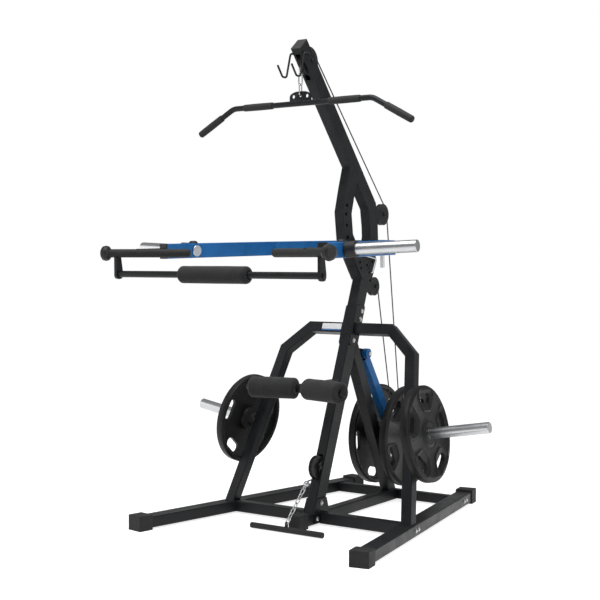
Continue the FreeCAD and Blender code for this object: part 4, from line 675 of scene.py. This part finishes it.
def spun(solid, count):
    """The same solid turned evenly about Z."""
    copies = []
    for i in range(count):
        turn = Matrix.Rotation(2 * math.pi * i / count, 3, "Z")
        copies.append(([turn @ point for point in solid[0]], solid[1]))
    return joined(copies)


def weight_plate(name, origin, axis, window_place, body):
    """Cast plate with raised lips round its grip windows, in place of the plain turned one."""
    sizes = bpy.context.scene.gym_sizes
    iron = finish_of("plate_iron")
    start, end, bore, radius = along_axis(name, origin, axis)
    middle = origin + axis * ((start + end) / 2)
    half = (end - start) / 2
    arm = window_place - middle
    arm -= axis * arm.dot(axis)
    reach = (WINDOW_LONG - WINDOW_WIDE) / 2
    hole = WINDOW_WIDE / 2
    lip = hole + sizes.lip_wide
    face = half - FACE_DROP
    verts, faces = lathe(plate_profile(radius, half, bore, sizes), sizes.round_steps)
    made = piece("cast_" + name, verts, faces, iron)
    lips = window_solid(reach, [
        (lip, 15 * MM - half, 1), (lip, face - sizes.web_sunk - 1 * MM, 1),
        (lip - 1.5 * MM, face - 0.5 * MM, 1), (lip - 3 * MM, face + 1.2 * MM, 1),
        (lip - 5 * MM, face + 2 * MM, 1)], arm.length)
    pockets = window_solid(reach, [
        (hole, -half * 2, 0), (hole, face - 8 * MM, 0), (hole + 1.5 * MM, face - 6 * MM, 0.4),
        (lip - 7 * MM, face - 1 * MM, 1), (lip - 5.5 * MM, face + 1.5 * MM, 1),
        (lip - 4.5 * MM, half * 2, 1)], arm.length)
    for label, solid, operation in (("lips", lips, "UNION"), ("windows", pockets, "DIFFERENCE")):
        verts, faces = spun(solid, WINDOWS)
        carve(made, piece(label, verts, faces, iron), operation)
    tidy_normals(made.data, 32)
    bake(made, Matrix.Translation(middle) @ axes_along(axis, arm))
    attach(made, body)
    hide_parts(name)


class GYM_OT_weight_plates(bpy.types.Operator):
    """Model the four cast weight plates"""
    bl_idname = "gym.weight_plates"
    bl_label = "Weight plates"

    def execute(self, context):
        windows = {item["name"]: item["box_m"] for item in RECORD["physics"]["openings"]}
        for kind, horn in (("stored", "storage_horn"), ("lever", "lever_horn")):
            for side, _ in SIDES:
                mount = MOUNTS[f"{horn}_{side}"]
                low, high = windows[f"{kind}_{side}_grip_1"]
                window = (Vector(low) + Vector(high)) / 2
                axis = Vector(mount["axis"]).normalized()
                body = f"stored_{side}" if kind == "stored" else f"lever_plate_{side}"
                weight_plate(f"{kind}_plate_{side}", Vector(mount["pos_m"]), axis, window, body)
        return {"FINISHED"}


FOAM_CROWN = 0.6 * MM       # how much a foam roller swells at its middle
FOAM_RINGS, END_RINGS = 14, 7


def foam_profile(inner, outer, long, sizes):
    """Section of a foam tube: full sides, rounded ends and a dimple round the bar."""
    soft = sizes.foam_round
    rim = outer - FOAM_CROWN
    end = [(inner, 3 * MM), (inner + 3 * MM, 1 * MM), (inner + 7 * MM, 0)]
    for i in range(END_RINGS + 1):
        turn = math.pi / 2 * i / END_RINGS
        end.append((outer - soft + soft * math.sin(turn), soft - soft * math.cos(turn)))
    middle = []
    for i in range(1, FOAM_RINGS):
        part = i / FOAM_RINGS
        crown = FOAM_CROWN * (1 - (2 * part - 1) ** 2)
        middle.append((rim + crown, soft + (long - 2 * soft) * part))
    return end + middle + [(radius, long - height) for radius, height in reversed(end)]


def foam_tube(name, origin, axis, body):
    """Soft foam roller in place of the plain turned one."""
    sizes = bpy.context.scene.gym_sizes
    start, end, inner, outer = along_axis(name, origin, axis)
    long = end - start

    def uneven(spot):
        level = noise.noise(spot * 28.0 + origin * 9.0) * 0.6 + noise.noise(spot * 75.0) * 0.4
        away = Vector((spot.x, spot.y, 0)).normalized()
        depth = sizes.foam_dent * (level - 0.6)
        inside = math.hypot(spot.x, spot.y) < inner + 2 * MM
        return Vector() if inside else away * depth

    verts, faces = lathe(foam_profile(inner, outer, long, sizes), 96, uneven)
    made = piece("soft_" + name, verts, faces, finish_of("foam"), smooth=60)
    bake(made, Matrix.Translation(origin + axis * start) @ axes_along(axis, (0.1, 0.3, 1)))
    made.modifiers.new("smooth", "SUBSURF").levels = 1
    settle(made)
    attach(made, body)
    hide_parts(name)


class GYM_OT_leg_rollers(bpy.types.Operator):
    """Model the two foam leg rollers"""
    bl_idname = "gym.leg_rollers"
    bl_label = "Leg rollers"

    def execute(self, context):
        for side, _ in SIDES:
            joint = JOINTS[f"roller_spin_{side}"]
            foam_tube(f"leg_roller_{side}", Vector(joint["pos_m"]), Vector(joint["axis"]).normalized(),
                      f"roller_{side}")
        return {"FINISHED"}


class GYM_OT_bar_foam(bpy.types.Operator):
    """Model the foam roll on the lower press bar"""
    bl_idname = "gym.bar_foam"
    bl_label = "Bar foam"

    def execute(self, context):
        joint = JOINTS["foam_spin"]
        foam_tube("foam_roll", Vector(joint["pos_m"]), Vector(joint["axis"]).normalized(), "foam")
        return {"FINISHED"}


def islands(name):
    """Points of each separate solid of a node."""
    mesh = NODES[name].data
    places = [tuple(round(part, 5) for part in vertex.co) for vertex in mesh.vertices]
    parent = {place: place for place in places}

    def root(place):
        while parent[place] != place:
            place = parent[place]
        return place

    for edge in mesh.edges:
        parent[root(places[edge.vertices[0]])] = root(places[edge.vertices[1]])
    found = {}
    for place in parent:
        found.setdefault(root(place), []).append(Vector(place))
    return list(found.values())


def core_of(points):
    """Inner and outer end of a sleeve's axis, which is the way its points spread the most."""
    middle = sum(points, Vector()) / len(points)
    arms = [point - middle for point in points]
    way = Vector((1, 0, 0))
    for _ in range(30):
        way = sum((arm * arm.dot(way) for arm in arms), Vector()).normalized()
    if way.x * middle.x < 0:
        way.negate()
    steps = [arm.dot(way) for arm in arms]
    return middle + way * min(steps), middle + way * max(steps)


class GYM_OT_lat_grips(bpy.types.Operator):
    """Model the smooth rubber sleeves on the lat bar"""
    bl_idname = "gym.lat_grips"
    bl_label = "Lat bar grips"

    def execute(self, context):
        lowest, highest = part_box("lat_bar")
        bar = (highest.y - lowest.y) / 2
        skin = bar + context.scene.gym_sizes.sleeve_thick
        solids = []
        for points in islands("lat_grips"):
            inner, outer = core_of(points)
            long = (outer - inner).length
            profile = [(bar, 0), (skin - 1.6 * MM, 0), (skin - 0.4 * MM, 1.6 * MM), (skin, 5 * MM),
                       (skin + 0.5 * MM, long / 2), (skin, long - 12 * MM)]
            if abs(outer.z - inner.z) > 20 * MM:
                profile += [(skin - 0.6 * MM, long - 7 * MM), (skin - 2.4 * MM, long - 3.5 * MM),
                            (skin - 5.5 * MM, long - 1.1 * MM), (skin - 9 * MM, long), (2 * CORE, long),
                            (2 * CORE, long - 3 * MM), (bar, long - 3 * MM)]
            else:
                profile += [(skin - 0.4 * MM, long - 1.6 * MM), (skin - 1.6 * MM, long), (bar, long)]
            place = Matrix.Translation(inner) @ axes_along(outer - inner, (0, 1, 0))
            solids.append(moved(lathe(profile, 48), place))
        verts, faces = joined(solids)
        made = piece("smooth_lat_grips", verts, faces, finish_of("black_rubber"), smooth=50)
        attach(made, "lat_bar")
        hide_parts("lat_grips")
        return {"FINISHED"}


def circle(radius, steps):
    """Points round a circle, as pairs."""
    turns = [2 * math.pi * k / steps for k in range(steps)]
    return [(radius * math.cos(turn), radius * math.sin(turn)) for turn in turns]


def rod_solid(x, z, radius, thick):
    """Round tool along Y that cuts a hole in an upright plate."""
    return stacked([[Vector((x + px, y, z + pz)) for px, pz in circle(radius, 28)] for y in (-thick, thick)])


# Half of the hanger's outline and its holes with their radii, in millimetres from the bar's axis.
HANGER_SIDE = ((57, 32), (54.5, 38), (48, 43.5), (39, 48), (28, 51.5), (14, 53))
HANGER_HOLES = ((0, 33, 5.5), (-36, 31, 7.5), (36, 31, 7.5))
HANGER_SINK = 0.7           # share of the bar's radius at which the hanger starts


class GYM_OT_lat_hanger(bpy.types.Operator):
    """Model the wide hanger plate on the lat bar"""
    bl_idname = "gym.lat_hanger"
    bl_label = "Lat bar hanger"

    def execute(self, context):
        lowest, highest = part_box("lat_hanger")
        bar_low, bar_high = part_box("lat_bar")
        bar = (bar_high.y - bar_low.y) / 2
        axis = bar_high.z - bar
        half = (highest.y - lowest.y) / 2
        black = finish_of("black_paint")
        outline = [Vector((HANGER_SIDE[0][0] * MM, 0, bar * HANGER_SINK))]
        outline += [Vector((x * MM, 0, z * MM)) for x, z in HANGER_SIDE]
        outline += [Vector((-point.x, 0, point.z)) for point in reversed(outline)]
        verts, faces = stacked([[point + Vector((0, y, 0)) for point in outline] for y in (-half, half)])
        made = piece("wide_lat_hanger", verts, faces, black)
        verts, faces = joined([rod_solid(x * MM, z * MM, radius * MM, half * 3)
                               for x, z, radius in HANGER_HOLES])
        carve(made, piece("hanger_holes", verts, faces, black), "DIFFERENCE")
        round_off = made.modifiers.new("round", "BEVEL")
        round_off.width = 0.8 * MM
        round_off.segments = 2
        round_off.limit_method = "ANGLE"
        settle(made)
        tidy_normals(made.data, 30)
        bake(made, Matrix.Translation((0, (lowest.y + highest.y) / 2, axis)))
        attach(made, "lat_bar")
        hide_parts("lat_hanger")
        return {"FINISHED"}


def cable_run(name, rings):
    """Straight run of cable from its upper to its lower end."""
    high, low = run_ends(name)
    lowest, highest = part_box(name)
    radius = (highest.x - lowest.x) / 2
    long = (high - low).length
    ring = circle(radius, 20)
    outlines = [[Vector((x, y, long * i / rings)) for x, y in ring] for i in range(rings + 1)]
    verts, faces = stacked(outlines)
    made = piece("taut_" + name, verts, faces, finish_of("cable_coat"), smooth=50)
    bake(made, Matrix.Translation(low) @ axes_along(high - low, (1, 0, 0)))
    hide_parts(name)
    return made, high, low


CORE = 0.1 * MM             # radius at which a turned solid is taken as closed
SEATED = 0.6 * MM           # how deep a bolt's head sits in its link


class GYM_OT_link_bolts(bpy.types.Operator):
    """Model the domed bolts at the feet of the lower bar's links"""
    bl_idname = "gym.link_bolts"
    bl_label = "Link bolts"

    def execute(self, context):
        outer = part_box("handle_links")[1].x
        low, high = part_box("lower_bar")
        foot = Vector((0, (low.y + high.y) / 2, (low.z + high.z) / 2))
        head = context.scene.gym_sizes.bolt_radius
        profile = [(CORE, 0), (head, 0), (head, 1.4 * MM), (head - 1.3 * MM, 3.6 * MM), (4.6 * MM, 5 * MM),
                   (2.6 * MM, 5.3 * MM), (2.2 * MM, 3.6 * MM), (CORE, 3.6 * MM)]
        solids = []
        for _, sign in SIDES:
            place = Matrix.Translation(foot + Vector((sign * (outer - SEATED), 0, 0)))
            solids.append(moved(lathe(profile, 40), place @ axes_along((sign, 0, 0), (0, 0, 1))))
        verts, faces = joined(solids)
        made = piece("link_bolts", verts, faces, finish_of("zinc_steel"))
        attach(made, "press_arm")
        return {"FINISHED"}


class GYM_OT_cable_runs(bpy.types.Operator):
    """Model the cable runs as straight, fixed pieces; on the machine they change length as the lever and the
    bar move
    """
    bl_idname = "gym.cable_runs"
    bl_label = "Cable runs"

    def execute(self, context):
        for name in ("lat_lift", "row_lift"):
            made, high, low = cable_run(name, 8)
            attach(made, "root")
            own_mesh(made)
        made, high, low = cable_run("lat_drop", 24)
        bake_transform(made)
        return {"FINISHED"}


def front_face(name, towards):
    """Normal of a node's outermost faces that look one way, and the points of those faces."""
    mesh = NODES[name].data
    faces = [face for face in mesh.polygons if face.normal.dot(towards) > 0.98]
    normal = sum((face.normal * face.area for face in faces), Vector()).normalized()
    far = max(face.center.dot(normal) for face in faces)
    outermost = [face for face in faces if face.center.dot(normal) > far - 1 * MM]
    return normal, [mesh.vertices[i].co for face in outermost for i in face.vertices]


LABEL_GAP = 13 * MM         # from the arch's inner end to the label
LABEL_THICK, LABEL_CORNER = 0.4 * MM, 3 * MM


class GYM_OT_label(bpy.types.Operator):
    """Model the blank label on the arch"""
    bl_idname = "gym.label"
    bl_label = "Blank label"

    def execute(self, context):
        sizes = context.scene.gym_sizes
        normal, rim = front_face("arch_left", Vector((0, -0.94, 0.35)).normalized())
        inner = max(point.x for point in rim)
        edge = [point for point in rim if point.x > inner - 2 * MM]
        top = max(edge, key=lambda p: p.z)
        bottom = min(edge, key=lambda p: p.z)
        middle = (top + bottom) / 2 - Vector((LABEL_GAP + sizes.label_long / 2, 0, 0))
        reach_x, reach_y = sizes.label_long / 2 - LABEL_CORNER, sizes.label_high / 2 - LABEL_CORNER
        outlines = []
        for inset, level in ((0, 0), (0, LABEL_THICK * 0.7), (0.2 * MM, LABEL_THICK)):
            outline = []
            for quarter, (side, end) in enumerate(((1, 1), (-1, 1), (-1, -1), (1, -1))):
                for i in range(5):
                    turn = math.pi / 2 * (quarter + i / 4)
                    outline.append(Vector((side * reach_x + (LABEL_CORNER - inset) * math.cos(turn),
                                           end * reach_y + (LABEL_CORNER - inset) * math.sin(turn), level)))
            outlines.append(outline)
        verts, faces = stacked(outlines)
        made = piece("blank_label", verts, faces, label_finish(context.scene.gym_colours, sizes))
        upright = axes_along(normal, normal.cross(Vector((1, 0, 0))))
        made.matrix_world = Matrix.Translation(middle + normal * 0.05 * MM) @ upright
        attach(made, "root")
        return {"FINISHED"}


# ------------------------------------------------------------------ studio

def soft_lamp(name, place, target, size, power):
    """A large square lamp that looks at a point."""
    lamp = bpy.data.lights.new(name, "AREA")
    lamp.shape = "RECTANGLE"
    lamp.size, lamp.size_y = size
    lamp.energy = power
    made = bpy.data.objects.new(name, lamp)
    made.location = place
    made.rotation_euler = (Vector(target) - Vector(place)).to_track_quat("-Z", "Y").to_euler()
    bpy.context.scene.collection.objects.link(made)


def seen_directly(tree):
    """1 for what the camera, a mirror or glass sees, and 0 for what lights the object."""
    path = tree.nodes.new("ShaderNodeLightPath")
    seen = math_node(tree, "ADD", path.outputs["Is Camera Ray"], path.outputs["Is Glossy Ray"])
    return math_node(tree, "ADD", seen, path.outputs["Is Transmission Ray"], clamp=True)


WHITE = (1, 1, 1, 1)
FLOOR_HALF, FLOOR_GREY, FLOOR_GLOW = 40.0, 0.75, 0.78


def make_world(strength):
    """White behind the object, and an even weaker light on it."""
    world = bpy.data.worlds.new("studio")
    tree = bare_tree(world)
    lit = node(tree, "ShaderNodeBackground", Strength=strength, Color=WHITE)
    seen = node(tree, "ShaderNodeBackground", Strength=1.0, Color=WHITE)
    path = tree.nodes.new("ShaderNodeLightPath")
    choice = tree.nodes.new("ShaderNodeMixShader")
    sink = tree.nodes.new("ShaderNodeOutputWorld")
    tree.links.new(path.outputs["Is Camera Ray"], choice.inputs[0])
    tree.links.new(lit.outputs[0], choice.inputs[1])
    tree.links.new(seen.outputs[0], choice.inputs[2])
    tree.links.new(choice.outputs[0], sink.inputs["Surface"])
    bpy.context.scene.world = world


def floor_finish():
    """Matt floor that takes the shadow, with a glow that only a look at it shows."""
    made = bpy.data.materials.new("studio_floor")
    tree = bare_tree(made)
    matt = node(tree, "ShaderNodeBsdfDiffuse", Color=(FLOOR_GREY, FLOOR_GREY, FLOOR_GREY, 1))
    strength = math_node(tree, "MULTIPLY", seen_directly(tree), FLOOR_GLOW)
    glow = node(tree, "ShaderNodeEmission", [("Strength", strength)])
    both = tree.nodes.new("ShaderNodeAddShader")
    sink = tree.nodes.new("ShaderNodeOutputMaterial")
    tree.links.new(matt.outputs[0], both.inputs[0])
    tree.links.new(glow.outputs[0], both.inputs[1])
    tree.links.new(both.outputs[0], sink.inputs["Surface"])
    return made


def make_floor():
    """Wide pale floor that keeps the shadow and shows white round it."""
    corners = [(x * FLOOR_HALF, y * FLOOR_HALF, 0) for x, y in ((-1, -1), (1, -1), (1, 1), (-1, 1))]
    piece("floor", corners, [(0, 1, 2, 3)], floor_finish())


def make_camera(studio):
    """Camera at the place, turn and dip that the studio settings give."""
    lens = bpy.data.cameras.new("camera")
    lens.lens = studio.lens
    lens.sensor_width = 36
    lens.shift_x = -0.00275
    lens.shift_y = -0.0032
    made = bpy.data.objects.new("camera", lens)
    made.location = studio.camera_place
    made.rotation_euler = (math.pi / 2 - studio.camera_dip, 0, studio.camera_turn)
    bpy.context.scene.collection.objects.link(made)
    bpy.context.scene.camera = made


class GYM_OT_studio(bpy.types.Operator):
    """Set up the camera, the floor and the lamps"""
    bl_idname = "gym.studio"
    bl_label = "Studio"

    def execute(self, context):
        for spare in [item for item in bpy.data.objects if item.name in ("Cube", "Light", "Camera")]:
            bpy.data.objects.remove(spare)
        studio = context.scene.gym_studio
        make_camera(studio)
        make_world(studio.sky)
        make_floor()
        middle = (0, 0, 1.0)
        tall = (2.0, 3.0)
        soft_lamp("key_above", (0.3, -1.2, 4.4), middle, (3.2, 3.2), studio.key_power)
        soft_lamp("side_left", (-3.6, -2.6, 1.9), middle, tall, studio.side_power)
        soft_lamp("side_right", (3.8, 0.6, 2.2), middle, tall, studio.side_power)
        context.scene.view_settings.view_transform = "Standard"
        return {"FINISHED"}


class GYM_PT_panel(bpy.types.Panel):
    """Sizes, colours and makers of the leverage gym"""
    bl_idname = "GYM_PT_panel"
    bl_label = "Leverage Gym"
    bl_space_type = "VIEW_3D"
    bl_region_type = "UI"
    bl_category = "Leverage Gym"

    def draw(self, context):
        for group in (context.scene.gym_colours, context.scene.gym_sizes, context.scene.gym_studio):
            box = self.layout.box()
            for name in group.__annotations__:
                box.prop(group, name)
        for maker in MAKERS:
            self.layout.operator(maker.bl_idname)


MAKERS = (GYM_OT_studio, GYM_OT_finishes, GYM_OT_weight_plates, GYM_OT_leg_rollers, GYM_OT_bar_foam,
          GYM_OT_link_bolts, GYM_OT_lat_grips, GYM_OT_lat_hanger, GYM_OT_cable_runs, GYM_OT_label)
CLASSES = (GymColours, GymSizes, GymStudio, *MAKERS, GYM_PT_panel)


def register():
    """Add the classes and the scene's settings."""
    for item in CLASSES:
        bpy.utils.register_class(item)
    bpy.types.Scene.gym_colours = PointerProperty(type=GymColours)
    bpy.types.Scene.gym_sizes = PointerProperty(type=GymSizes)
    bpy.types.Scene.gym_studio = PointerProperty(type=GymStudio)


def unregister():
    """Take the settings and the classes away again."""
    del bpy.types.Scene.gym_colours
    del bpy.types.Scene.gym_sizes
    del bpy.types.Scene.gym_studio
    for item in reversed(CLASSES):
        bpy.utils.unregister_class(item)


def main():
    """Make the whole dressed model, in order."""
    register()
    bpy.ops.gym.studio()
    bpy.ops.gym.finishes()
    bpy.ops.gym.weight_plates()
    bpy.ops.gym.leg_rollers()
    bpy.ops.gym.bar_foam()
    bpy.ops.gym.link_bolts()
    bpy.ops.gym.lat_grips()
    bpy.ops.gym.lat_hanger()
    bpy.ops.gym.cable_runs()
    bpy.ops.gym.label()


if __name__ == "__main__":
    main()
